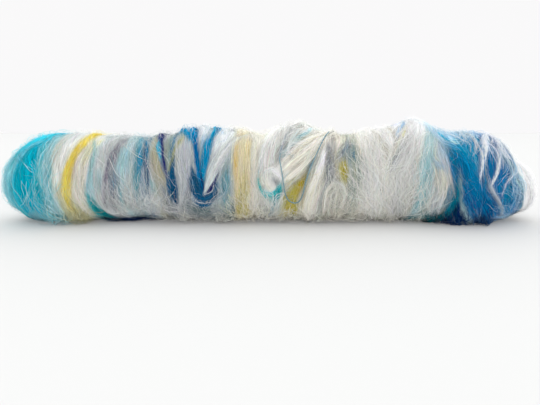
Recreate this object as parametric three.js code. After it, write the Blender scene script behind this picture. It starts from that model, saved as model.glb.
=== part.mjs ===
import * as THREE from "three";

// Carded art batt: a web of carded fibre, lifted off a drum in one piece and rolled up.
// Millimetres, +Z up. The roll lies along X, its front faces -Y and its foot rests on Z = 0.
// A place on the roll is x along it and an angle round it: 0 front, 90 top, 180 back, 270 foot.

// Driving dimensions
const ROLL_LENGTH = 305;
const ROLL_RADIUS = 25.4;
const FOOT_PRESS = 1.5;
const LEFT_END = { depth: 30, sag: 4.6, fullness: 2.05 };
const RIGHT_END = { depth: 34, sag: 9.5, fullness: 1.76 };
const THREAD_DIAMETER = 0.7;
const THREAD_CLEARANCE = 0.45;
const CROWN_TAPER = 1.5;

// The wound web: the step at its free edge, and the spiral that its turns leave on each end
const LAP_STEP = 1.8;
const LAP_ANGLE = 204;
const LAP_SWAY = 7;
const LAP_WAVES = 2.5;
const SPIRAL_TURNS = 2.6;
const SPIRAL_DEPTH = 2.4;
const SPIRAL_SPAN = { begins: 0.25, full: 0.6, fades: 0.9 };

// Fineness of the surface
const POINTS_ROUND = 40;
const BODY_STEP = 3.2;
const END_RINGS = 11;
const FOLD_STEPS = 24;
const THREAD_SIDES = 8;
const THREAD_STEP = 2.2 * THREAD_DIAMETER;

// Rows along the roll: the radius there, and the crown, how far its top stands above that
const SECTIONS = [
  { x: -153, radius: 26.2, crown: -1.6 },
  { x: -120, radius: 27.2, crown: -2.2 },
  { x: -108, radius: 27.0, crown: -1.4 },
  { x: -97, radius: 25.6, crown: -0.8 },
  { x: -84, radius: 25.2, crown: -1.2 },
  { x: -70, radius: 24.9, crown: -1.8 },
  { x: -62, radius: 25.3, crown: -0.2 },
  { x: -56, radius: 25.2, crown: -0.6 },
  { x: -46, radius: 25.4, crown: 2.0 },
  { x: -31, radius: 25.4, crown: 3.0 },
  { x: -19, radius: 25.4, crown: 1.6 },
  { x: -6, radius: 25.2, crown: -0.4 },
  { x: 4, radius: 25.2, crown: 1.8 },
  { x: 16, radius: 25.4, crown: 2.8 },
  { x: 30, radius: 25.2, crown: -0.2 },
  { x: 38, radius: 25.0, crown: -0.9 },
  { x: 50, radius: 25.4, crown: 0.6 },
  { x: 62, radius: 25.6, crown: 2.0 },
  { x: 70, radius: 25.8, crown: 4.4 },
  { x: 79, radius: 26.2, crown: 5.8 },
  { x: 87, radius: 26.6, crown: 1.9 },
  { x: 96, radius: 27.0, crown: -1.4 },
  { x: 108, radius: 27.2, crown: -1.2 },
  { x: 119, radius: 26.8, crown: -1.8 },
  { x: 138, radius: 26.6, crown: -4.6 },
  { x: 153, radius: 26.6, crown: -7.0 },
];

// Creases that run right round between the colour bands: a negative rise sinks the surface
const BAND_CREASES = [
  { x: -114, sway: 1.0, start: 20, width: 2.8, rise: -0.8 },
  { x: -96, sway: 2.4, start: 200, width: 3.2, rise: -0.9 },
  { x: -71, sway: 1.6, start: 90, width: 3.6, rise: -0.9 },
  { x: -57, sway: 2.6, start: 250, width: 2.8, rise: -0.8 },
  { x: -6, sway: 2.2, start: 130, width: 3.4, rise: -0.8 },
  { x: 47, sway: 3.0, start: 310, width: 4.2, rise: -0.7 },
  { x: 72, sway: 2.2, start: 60, width: 3.6, rise: -0.7 },
];

// Folds, twists and locks, each from one place to another: bow moves its middle along x
const FOLDS = [
  // V fold left of the middle, its two arms, the fan on top of the left one, the white lock over them
  // and the hollow at their point
  { x1: -47, angle1: 104, x2: -36, angle2: -14, bow: 2.5, width: 3.4, rise: -3.0 },
  { x1: -27, angle1: 104, x2: -35, angle2: 2, bow: -1.5, width: 3.0, rise: -2.0 },
  { x1: -51, angle1: 120, x2: -46, angle2: 66, bow: 1, width: 3.4, rise: 1.9 },
  { x1: -12, angle1: 84, x2: -32, angle2: -12, bow: 0, width: 4.6, rise: 2.3 },
  { x1: -41, angle1: -6, x2: -25, angle2: -16, bow: 0, width: 4.0, rise: -1.5 },
  // Curl in the middle: the tress, its crest and the hollow below them
  { x1: 7, angle1: 86, x2: -3, angle2: -8, bow: -5, width: 3.6, rise: 1.5 },
  { x1: -4, angle1: 24, x2: 7, angle2: 5, bow: 0, width: 3.0, rise: 0.9 },
  { x1: -5, angle1: 0, x2: 5, angle2: -20, bow: 0, width: 3.4, rise: -1.5 },
  // Cream tress, the mustard hollow under it, the silver lock and the hollow on its right
  { x1: 33, angle1: 88, x2: 6, angle2: 14, bow: 0, width: 6.0, rise: 2.0 },
  { x1: 19, angle1: 8, x2: 7, angle2: -40, bow: 0, width: 4.0, rise: -2.1 },
  { x1: 31, angle1: 48, x2: 20, angle2: -68, bow: 1, width: 3.2, rise: 2.3 },
  { x1: 32, angle1: 42, x2: 33, angle2: -4, bow: 0, width: 3.8, rise: -1.6 },
  { x1: 27, angle1: -22, x2: 33, angle2: 2, bow: -1, width: 2.6, rise: 0.9 },
  { x1: 33, angle1: 2, x2: 40, angle2: -22, bow: 1, width: 2.6, rise: 0.9 },
  // Hump on the right: the notch before it, its ridge and the band that runs down from it
  { x1: 64, angle1: 100, x2: 66, angle2: 46, bow: 1, width: 3.2, rise: -1.6 },
  { x1: 80, angle1: 130, x2: 85, angle2: 36, bow: 2, width: 7.0, rise: 1.4 },
  { x1: 86, angle1: 58, x2: 79, angle2: -44, bow: -2, width: 3.8, rise: -0.9 },
  // Blue twist: its rope, the troughs beside it and the locks that lie on the end
  { x1: 84, angle1: 100, x2: 103, angle2: 2, bow: 3, width: 6.0, rise: 2.2 },
  { x1: 103, angle1: 6, x2: 124, angle2: -72, bow: 0, width: 5.6, rise: 1.6 },
  { x1: 90, angle1: 84, x2: 92, angle2: -62, bow: 5, width: 3.4, rise: -2.3 },
  { x1: 107, angle1: 46, x2: 118, angle2: -50, bow: 0, width: 2.8, rise: -1.4 },
  { x1: 100, angle1: -20, x2: 115, angle2: -68, bow: 0, width: 2.8, rise: 1.0 },
  { x1: 118, angle1: 74, x2: 110, angle2: 8, bow: 1, width: 2.8, rise: 1.3 },
  { x1: 122, angle1: 46, x2: 115, angle2: -2, bow: 0, width: 2.6, rise: 0.9 },
  { x1: 113, angle1: 18, x2: 126, angle2: -42, bow: -2, width: 2.6, rise: 1.1 },
  // Notch between the blue end and the white tuft, over its top and down its front
  { x1: 144, angle1: 150, x2: 133, angle2: 22, bow: 2, width: 3.4, rise: -4.2 },
  { x1: 133, angle1: 34, x2: 138, angle2: -62, bow: -1.5, width: 3.0, rise: -2.2 },
  // Overhang of the outer turn low on the left, above the floor
  { x1: -98, angle1: -22, x2: -58, angle2: -58, bow: 0, width: 3.2, rise: -1.3 },
  // Folds of the back, where the same twists run on round the roll
  { x1: -92, angle1: 96, x2: -80, angle2: 226, bow: 3, width: 4.6, rise: -1.5 },
  { x1: -48, angle1: 100, x2: -36, angle2: 246, bow: -4, width: 4.0, rise: -1.9 },
  { x1: -18, angle1: 92, x2: -30, angle2: 236, bow: 5, width: 5.0, rise: 1.7 },
  { x1: 18, angle1: 92, x2: 36, angle2: 240, bow: -3, width: 5.4, rise: 1.9 },
  { x1: 50, angle1: 112, x2: 38, angle2: 236, bow: 4, width: 4.2, rise: -1.6 },
  { x1: 80, angle1: 120, x2: 66, angle2: 222, bow: -4, width: 6.4, rise: 1.7 },
  { x1: 98, angle1: 96, x2: 112, angle2: 236, bow: 3, width: 4.0, rise: -1.8 },
  { x1: 116, angle1: 92, x2: 122, angle2: 226, bow: -3, width: 3.4, rise: 1.3 },
];

// The thread's route over the front, both ends running over the top: x and angle by hand
const THREAD_ROUTE = [
  { x: 27.0, angle: 108 },
  { x: 22.5, angle: 101 },
  { x: 17.5, angle: 94 },
  { x: 12.5, angle: 84 },
  { x: 9.4, angle: 72 },
  { x: 7.4, angle: 60 },
  { x: 6.0, angle: 49 },
  { x: 4.9, angle: 38 },
  { x: 4.2, angle: 28 },
  { x: 5.0, angle: 18 },
  { x: 5.8, angle: 7 },
  { x: 6.5, angle: -4 },
  { x: 7.5, angle: -14 },
  { x: 9.3, angle: -22 },
  { x: 12.1, angle: -25.6 },
  { x: 14.8, angle: -22.4 },
  { x: 16.4, angle: -13.5 },
  { x: 17.3, angle: -4 },
  { x: 18.4, angle: 7 },
  { x: 20.0, angle: 17.5 },
  { x: 22.2, angle: 29 },
  { x: 24.6, angle: 40 },
  { x: 27.0, angle: 52 },
  { x: 29.4, angle: 64 },
  { x: 31.8, angle: 76 },
  { x: 34.0, angle: 88 },
  { x: 36.0, angle: 99 },
];

const LEFT_SHOULDER = -ROLL_LENGTH / 2 + LEFT_END.depth;
const RIGHT_SHOULDER = ROLL_LENGTH / 2 - RIGHT_END.depth;
const AXIS_HEIGHT = ROLL_RADIUS - FOOT_PRESS;
const FOOT_ANGLE = 270;

const sectionCurve = new THREE.CubicInterpolant(
  SECTIONS.map((row) => row.x),
  SECTIONS.flatMap((row) => [row.radius, row.crown]),
  2,
);

// The angle from one direction to another, the short way round, in degrees
function turnBetween(from, to) {
  return THREE.MathUtils.euclideanModulo(to - from + 180, 360) - 180;
}

// How far the end nearest to x has closed there: 0 on the body, 1 at the tip
function endShare(x) {
  if (x < 0) return Math.max(0, (LEFT_SHOULDER - x) / LEFT_END.depth);
  return Math.max(0, (x - RIGHT_SHOULDER) / RIGHT_END.depth);
}

// Relief of the creases that run right round, each swaying along x on its way
function creaseRelief(x, angle) {
  let relief = 0;
  for (const crease of BAND_CREASES) {
    const sway = crease.sway * Math.cos(THREE.MathUtils.degToRad(angle - crease.start));
    const away = (x - crease.x - sway) / crease.width;
    relief += crease.rise * Math.exp(-away * away);
  }
  return relief;
}

// Relief of one fold: full along its middle, fading at both ends and to its sides
function foldRelief(fold, x, angle) {
  let relief = 0;
  for (let step = 0; step <= FOLD_STEPS; step += 1) {
    const t = step / FOLD_STEPS;
    const arch = 4 * t * (1 - t);
    const pathX = THREE.MathUtils.lerp(fold.x1, fold.x2, t) + fold.bow * arch;
    const pathAngle = THREE.MathUtils.lerp(fold.angle1, fold.angle2, t);
    const turn = THREE.MathUtils.degToRad(turnBetween(pathAngle, angle));
    const away = Math.hypot(x - pathX, turn * ROLL_RADIUS) / fold.width;
    const here = fold.rise * Math.sqrt(arch) * Math.exp(-away * away);
    if (Math.abs(here) > Math.abs(relief)) relief = here;
  }
  return relief;
}

// The web winds outwards, so the radius grows through each turn and drops at the free edge.
// It is measured from the foot, which keeps the radius of its section.
function lapRelief(x, angle) {
  const sway = LAP_SWAY * Math.sin((LAP_WAVES * Math.PI * x) / (ROLL_LENGTH / 2));
  const turn = THREE.MathUtils.euclideanModulo(angle - LAP_ANGLE - sway, 360) / 360;
  const turnAtFoot = (FOOT_ANGLE - LAP_ANGLE) / 360;
  return LAP_STEP * (turn - turnAtFoot);
}

// The turns of the web show as one spiral groove on each end, running in from the free edge
function spiralRelief(share, angle) {
  const turns = (angle - LAP_ANGLE) / 360 + SPIRAL_TURNS * share;
  const groove = 0.5 + 0.5 * Math.cos(2 * Math.PI * turns);
  const rising = THREE.MathUtils.smoothstep(share, SPIRAL_SPAN.begins, SPIRAL_SPAN.full);
  const falling = 1 - THREE.MathUtils.smoothstep(share, SPIRAL_SPAN.fades, 1);
  return -SPIRAL_DEPTH * groove * groove * rising * falling;
}

// A point of the surface, raised by lift away from the axis of the roll
function surfacePoint(x, angle, lift = 0) {
  const share = endShare(x);
  const { sag, fullness } = x < 0 ? LEFT_END : RIGHT_END;
  const [radius, crown] = sectionCurve.evaluate(x);
  const closing = (1 - share ** fullness) ** (1 / fullness);
  const turn = THREE.MathUtils.degToRad(angle);
  const top = Math.max(0, Math.sin(turn)) ** CROWN_TAPER;
  const folds = FOLDS.reduce((sum, fold) => sum + foldRelief(fold, x, angle), 0);
  const relief = (creaseRelief(x, angle) + folds + lapRelief(x, angle)) * closing;
  const reach = (radius + crown * top) * closing + relief + lift;
  const dent = Math.sign(x) * spiralRelief(share, angle);
  const height = AXIS_HEIGHT - sag * share * share + reach * Math.sin(turn);
  return new THREE.Vector3(x + dent, -reach * Math.cos(turn), Math.max(height, 0));
}

// Places of the rings of points along the roll, closer together on the rounded ends
function ringPlaces() {
  const places = [];
  const bodySteps = Math.round((RIGHT_SHOULDER - LEFT_SHOULDER) / BODY_STEP);
  for (let ring = END_RINGS; ring > 0; ring -= 1) {
    places.push(LEFT_SHOULDER - LEFT_END.depth * Math.sin((ring / (END_RINGS + 1)) * (Math.PI / 2)));
  }
  for (let ring = 0; ring <= bodySteps; ring += 1) {
    places.push(THREE.MathUtils.lerp(LEFT_SHOULDER, RIGHT_SHOULDER, ring / bodySteps));
  }
  for (let ring = 1; ring <= END_RINGS; ring += 1) {
    places.push(RIGHT_SHOULDER + RIGHT_END.depth * Math.sin((ring / (END_RINGS + 1)) * (Math.PI / 2)));
  }
  return places;
}

// Closed skin over the rings, with a fan of triangles on each tip
function loftGeometry(rings, leftTip, rightTip) {
  const points = [...rings.flat(), leftTip, rightTip];
  const leftIndex = points.length - 2;
  const rightIndex = points.length - 1;
  const lastRing = (rings.length - 1) * POINTS_ROUND;
  const triangles = [];
  for (let step = 0; step < POINTS_ROUND; step += 1) {
    const next = (step + 1) % POINTS_ROUND;
    triangles.push(leftIndex, step, next);
    for (let start = 0; start < lastRing; start += POINTS_ROUND) {
      const after = start + POINTS_ROUND;
      triangles.push(start + step, after + step, start + next);
      triangles.push(start + next, after + step, after + next);
    }
    triangles.push(rightIndex, lastRing + next, lastRing + step);
  }
  const geometry = new THREE.BufferGeometry().setFromPoints(points);
  geometry.setIndex(triangles);
  geometry.computeVertexNormals();
  return geometry;
}

// The rolled web: one solid with its folds, locks, hump, spiral ends and pressed foot
function makeBatt() {
  const rings = ringPlaces().map((x) => {
    const ring = [];
    for (let step = 0; step < POINTS_ROUND; step += 1) {
      ring.push(surfacePoint(x, (360 * step) / POINTS_ROUND));
    }
    return ring;
  });
  const leftTip = new THREE.Vector3(-ROLL_LENGTH / 2, 0, AXIS_HEIGHT - LEFT_END.sag);
  const rightTip = new THREE.Vector3(ROLL_LENGTH / 2, 0, AXIS_HEIGHT - RIGHT_END.sag);
  const material = new THREE.MeshStandardMaterial({ color: 0xb9d2d9, roughness: 0.95, metalness: 0 });
  const batt = new THREE.Mesh(loftGeometry(rings, leftTip, rightTip), material);
  batt.name = "batt";
  return batt;
}

// The add-in thread: a limp tube that lies just clear of the roll along its route
function makeThread() {
  const lift = THREAD_DIAMETER / 2 + THREAD_CLEARANCE;
  const route = THREAD_ROUTE.map((place) => surfacePoint(place.x, place.angle, lift));
  const path = new THREE.CatmullRomCurve3(route);
  const section = new THREE.Shape();
  for (let side = 0; side < THREAD_SIDES; side += 1) {
    const turn = (2 * Math.PI * side) / THREAD_SIDES;
    const across = (THREAD_DIAMETER / 2) * Math.cos(turn);
    const along = (THREAD_DIAMETER / 2) * Math.sin(turn);
    if (side === 0) section.moveTo(across, along);
    else section.lineTo(across, along);
  }
  section.closePath();
  const steps = Math.round(path.getLength() / THREAD_STEP);
  const geometry = new THREE.ExtrudeGeometry(section, { extrudePath: path, steps });
  const material = new THREE.MeshStandardMaterial({ color: 0x6e96aa, roughness: 0.8, metalness: 0 });
  const thread = new THREE.Mesh(geometry, material);
  thread.name = "thread";
  return thread;
}

// The roll is centred over the origin by its own box, and the thread moves with it
function makeCardedBatt() {
  const part = new THREE.Group();
  const batt = makeBatt();
  const middle = new THREE.Box3().setFromObject(batt).getCenter(new THREE.Vector3());
  part.add(batt, makeThread());
  part.position.set(-middle.x, -middle.y, 0);
  return part;
}

export default makeCardedBatt();
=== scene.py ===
"""Looks of a carded art batt: the rolled web of fibre, the locks on it and a thread carded into it.

A place on the roll is given on a chart of its skin: s, in millimetres along it from the middle and on over
its round ends, and an angle in degrees round it, 0 at the front, 90 at the top, 180 at the back.
"""

import math

import bpy
import numpy as np
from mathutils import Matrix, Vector
from mathutils.bvhtree import BVHTree


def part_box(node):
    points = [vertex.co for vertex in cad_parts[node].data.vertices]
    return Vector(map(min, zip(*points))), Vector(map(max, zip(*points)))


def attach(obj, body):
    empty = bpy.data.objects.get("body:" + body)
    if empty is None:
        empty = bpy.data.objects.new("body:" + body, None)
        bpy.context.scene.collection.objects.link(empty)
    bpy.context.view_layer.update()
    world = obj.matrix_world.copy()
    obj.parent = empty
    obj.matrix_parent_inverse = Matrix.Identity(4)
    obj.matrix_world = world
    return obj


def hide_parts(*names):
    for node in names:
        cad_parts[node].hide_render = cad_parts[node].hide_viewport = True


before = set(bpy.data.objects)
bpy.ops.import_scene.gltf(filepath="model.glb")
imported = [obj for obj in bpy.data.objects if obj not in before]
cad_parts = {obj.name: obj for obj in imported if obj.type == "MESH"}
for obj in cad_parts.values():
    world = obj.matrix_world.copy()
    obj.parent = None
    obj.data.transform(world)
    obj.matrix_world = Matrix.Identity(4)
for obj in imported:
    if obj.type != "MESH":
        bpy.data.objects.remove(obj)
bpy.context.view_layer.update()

# Sizes of the roll in millimetres, the share of its girth that its tips keep, the fineness of its chart
# and skin, and the room that the looks leave under the skin for loose fibres
MM = 0.001
batt_low, batt_high = (np.array(corner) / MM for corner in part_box("batt"))
LEFT_DEPTH = 30.0
RIGHT_DEPTH = 34.0
LEFT_SHOULDER = batt_low[0] + LEFT_DEPTH
RIGHT_SHOULDER = batt_high[0] - RIGHT_DEPTH
END_RADIUS = 26.0
TIP_SHARE = 0.15
AXIS_Y = -0.5
AXIS_Z = 23.9
S_MIN = LEFT_SHOULDER - END_RADIUS * math.pi / 2
S_MAX = RIGHT_SHOULDER + END_RADIUS * math.pi / 2
CHART_SHAPE = (640, 360)
REACH_SHAPE = (320, 180)
BODY_SHAPE = (540, 144)
FLOOR_CLEAR = 0.05
FUZZ_ROOM = 1.1

# Streaks of noise: how strong each layer is, how wide in millimetres, how long in degrees, and its seed
BAND_RAGGED = [(0.9, 1.3, 14, 1), (0.8, 4, 40, 2)]
LOCK_RAGGED = [(0.35, 0.9, 9, 3), (0.25, 0.5, 5, 4)]
LEAN_STREAKS = [(0.12, 9, 50, 5)]
OWN_LEAN_STREAKS = [(1.3, 6, 24, 6)]
COMB_STREAKS = [(0.15, 0.8, 18, 11), (0.22, 2.2, 30, 12)]
SHADE_STREAKS = [(0.12, 0.7, 16, 13)]

# How bands and locks are laid, in millimetres and shares: the softness of their edges, a lock's least half
# width and the stretch beside it that it can touch, the painted shade beside it where it stands up, how far
# it presses down what is under it, how far out it turns the fibres beside it, and the points worked out for
# each one given
BAND_EDGE = 0.9
LOCK_EDGE = 0.3
LOCK_EDGE_MOST = 0.7
LOCK_NARROWEST = 0.15
LOCK_MARGIN = 6.0
RIM_SHADE = 0.14
RIM_AWAY = 0.5
RIM_WIDE = 0.8
LOCK_PRESS = 0.4
LOCK_PULL = 2.0
POINTS_TO_KNOT = 4

# How far a lock has drifted along the roll by the time it is round at the back, at places along the roll,
# and how much less thickly it is strewn there
DRIFT_PLACES = (-153, -100, -66, -40, -14, 20, 48, 74, 112, 126, 138)
BACK_DRIFT = (0, 7, 2, -9, -6, 13, 4, -7, 12, 5, 0)
BACK_FILL = 0.55

# Fibres: how many, the points along each, their least and greatest length in millimetres, how far they lean
# out of the flow and how much they sway
SKIN_COUNT = 11600
VEIL_COUNT = 2400
HALO_COUNT = 6600
SHORT_STEPS = 7
LONG_STEPS = 9
FIBRE_LENGTH = (12, 40)
HALO_LENGTH = (5, 20)
SKIN_DRIFT = (0.14, 0.14)
VEIL_DRIFT = (0.35, 0.3)
HALO_DRIFT = (0.6, 0.6)

# Fibres of a lock: how many to a millimetre of its half width and at least, how far they spread over that
# width, and how far they wander in millimetres
LOCK_DENSITY = 13
LOCK_FEWEST = 4
LOCK_SPREAD = 0.52
LOCK_WANDER = 0.25

# How each kind of fibre looks: its least and greatest width in millimetres, how much it varies in light and
# in hue, and how far it turns on edge; how high it lies or stands and how far its ends are tucked in, in
# millimetres, and its share of its own tint
SKIN_LOOK = dict(width=(0.09, 0.28), varied=(0.2, 0.04), turn=0.5, base=(-0.1, 0.5), bow=(0, 0.6), tuck=0.4)
LOCK_LOOK = dict(width=(0.09, 0.28), varied=(0.18, 0.04), turn=0.45, base=(0, 0.55), bow=(0, 0.4), tuck=0.5)
VEIL_LOOK = dict(width=(0.05, 0.12), varied=(0.06, 0.02), turn=0.6, height=(0.3, 1.3), share=(0.1, 0.7))
FRIZZ_LOOK = dict(width=(0.08, 0.26), varied=(0.08, 0.02), turn=0.6, height=(0.2, 1), share=(0.25, 1))
HALO_LOOK = dict(width=(0.04, 0.08), varied=(0.06, 0.02), turn=0.8, share=(0.2, 0.9))

# Shape and shade of a fibre: how far the ends of loose ones are tucked in, the shares of its height at the
# feet of an arch and of its width at a tip, the share of its middle's colour that it holds, and how paleness
# is measured and how much it calms a fibre's shade
LOOSE_TUCK = 0.4
ARCH_FOOT = 0.4
TAPER_TIP = 0.25
HELD_SHARE = 0.35
PALE_CURVE = 0.7
PALE_CALM = 0.4

# Shade and light painted into the fibre's colour by the degrees round the roll from its foot: painted shade
# at the foot and a little over the front, painted light just above the foot and along the top; the thin tuft
# that starts at this place along the roll loses it over this stretch, and is as light below as above
TUFT_START = 132
TUFT_FADE = 10
SHADE_TURNS = (0, 26, 36, 46, 66, 90, 110, 130, 146, 160, 180)
SHADE_LIGHT = (0.6, 0.64, 1.14, 1.18, 1.03, 0.97, 0.93, 0.92, 1, 1.14, 1.2)

# Light on the front of the roll, the share of it that fibres catch from one another, the lightest fibre,
# and how much painted shade darkens the mass under the fibres
FRONT_LIGHT = 0.98
FIBRE_DEPTH = 0.4
BRIGHTEST = 0.97
BODY_SHADE = 0.88
BODY_BRIGHTEST = 0.9

# Colours as they look on the front of the roll, in sRGB numbers from 0 to 255
TINTS = dict(
    white=(224, 224, 221), silver=(246, 246, 248), cool_white=(222, 227, 229), cream=(225, 222, 210),
    ivory=(244, 239, 225), beige=(207, 203, 190), pearl=(206, 210, 211), grey=(192, 194, 194),
    stone=(182, 188, 189), ash=(164, 170, 168), lavender=(182, 187, 192), lilac=(208, 212, 227),
    grey_lilac=(182, 184, 189), plum_grey=(150, 150, 158), mauve=(112, 108, 124),
    slate_grey=(126, 132, 138), graphite=(92, 100, 112), sage=(140, 154, 146), teal=(40, 178, 196),
    deep_teal=(0, 166, 190), light_teal=(85, 178, 190), pale_teal=(154, 194, 201), ice=(185, 216, 219),
    mist=(150, 212, 224), aqua=(76, 188, 194), sea=(10, 148, 156), teal_grey=(146, 172, 176),
    dusk_teal=(84, 146, 162), petrol=(0, 114, 140), pine=(0, 105, 115), black_teal=(8, 36, 48),
    cyan=(40, 162, 200), cerulean=(0, 130, 174), sky=(160, 192, 212), haze=(130, 165, 195),
    blue=(0, 114, 166), ocean=(12, 78, 116), deep_blue=(0, 76, 132), steel=(75, 120, 148),
    slate=(130, 150, 168), denim=(26, 98, 156), navy=(16, 30, 94), midnight=(0, 36, 84),
    lemon=(228, 223, 176), mustard=(230, 206, 90), pale_mustard=(232, 220, 186), honey=(224, 190, 108),
    khaki=(178, 168, 95), olive=(150, 150, 96), olive_gold=(182, 170, 72), gold=(186, 156, 0),
    straw=(190, 188, 150), tan=(172, 166, 138), moss=(70, 74, 30), storm=(100, 118, 124),
    umber=(112, 110, 96), thread=(108, 138, 148),
)

# Colour bands that run right round: where each one's middle is at the front, top, back and foot,
# its half width, and how much of what is under it it covers
BAND_COLUMNS = ("tint", "front", "top", "back", "foot", "wide", "cover")
BANDS = [
    ("stone", -58, -58, -58, -58, 39, 1),
    ("teal", -139, -139, -139, -139, 23.6, 1),
    ("light_teal", -148, -149, -148, -148, 12, 0.5),
    ("mist", -153, -154, -153, -153, 11, 0.85),
    ("ice", -159, -160, -159, -159, 9, 0.8),
    ("white", -110.4, -106, -109, -108, 4.2, 0.95),
    ("mustard", -106.8, -98.5, -103, -105, 1.4, 0.9),
    ("cream", -101.8, -94.5, -98, -99, 3.4, 0.85),
    ("pale_teal", -95.6, -90, -93, -96, 1.2, 0.6),
    ("grey", -91, -88, -90, -90, 3.6, 0.7),
    ("plum_grey", -84, -80, -82, -83, 2.4, 0.35),
    ("pale_teal", -77, -75, -77, -77, 3, 0.5),
    ("dusk_teal", -71, -71.5, -71, -70, 1.4, 0.6),
    ("slate", -67, -67, -67, -66, 2, 0.5),
    ("ocean", -65.6, -67, -65.5, -65, 0.8, 0.6),
    ("tan", -61, -64, -61, -60, 1.8, 0.6),
    ("navy", -56.5, -62, -57.5, -55, 0.7, 0.6),
    ("sage", -54.5, -55, -55, -54, 2.4, 0.5),
    ("ocean", -52, -52, -52, -51, 1.2, 0.55),
    ("lavender", -45.5, -45, -45, -45, 3.2, 0.75),
    ("cerulean", -36.4, -36, -37, -36, 1.8, 0.45),
    ("cool_white", -27, -24, -27, -28, 5, 0.6),
    ("pale_mustard", -15.4, -15, -15, -15.5, 4.2, 0.8),
    ("beige", -8, -8, -8, -8, 2.6, 0.6),
    ("white", 2, 6, 2, 2, 6, 0.7),
    ("cream", 14, 24, 16, 12, 4, 0.6),
    ("white", 23, 30, 25, 20, 3, 0.7),
    ("slate_grey", 30.6, 33, 31, 29, 1.6, 0.4),
    ("sage", 43, 43, 43, 43, 3, 0.4),
    ("cream", 56, 56, 56, 56, 9, 0.9),
    ("grey_lilac", 69, 72, 69, 68, 4, 0.5),
    ("pale_teal", 80, 83, 81, 78, 2.8, 0.7),
    ("sky", 89, 90, 88, 88, 3, 0.6),
    ("blue", 102, 97, 101, 106, 6, 0.95),
    ("denim", 115, 112, 115, 117, 8, 0.9),
    ("denim", 125, 121, 124, 130, 7, 0.75),
    ("silver", 150, 141, 148, 157, 16, 1),
]

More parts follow.
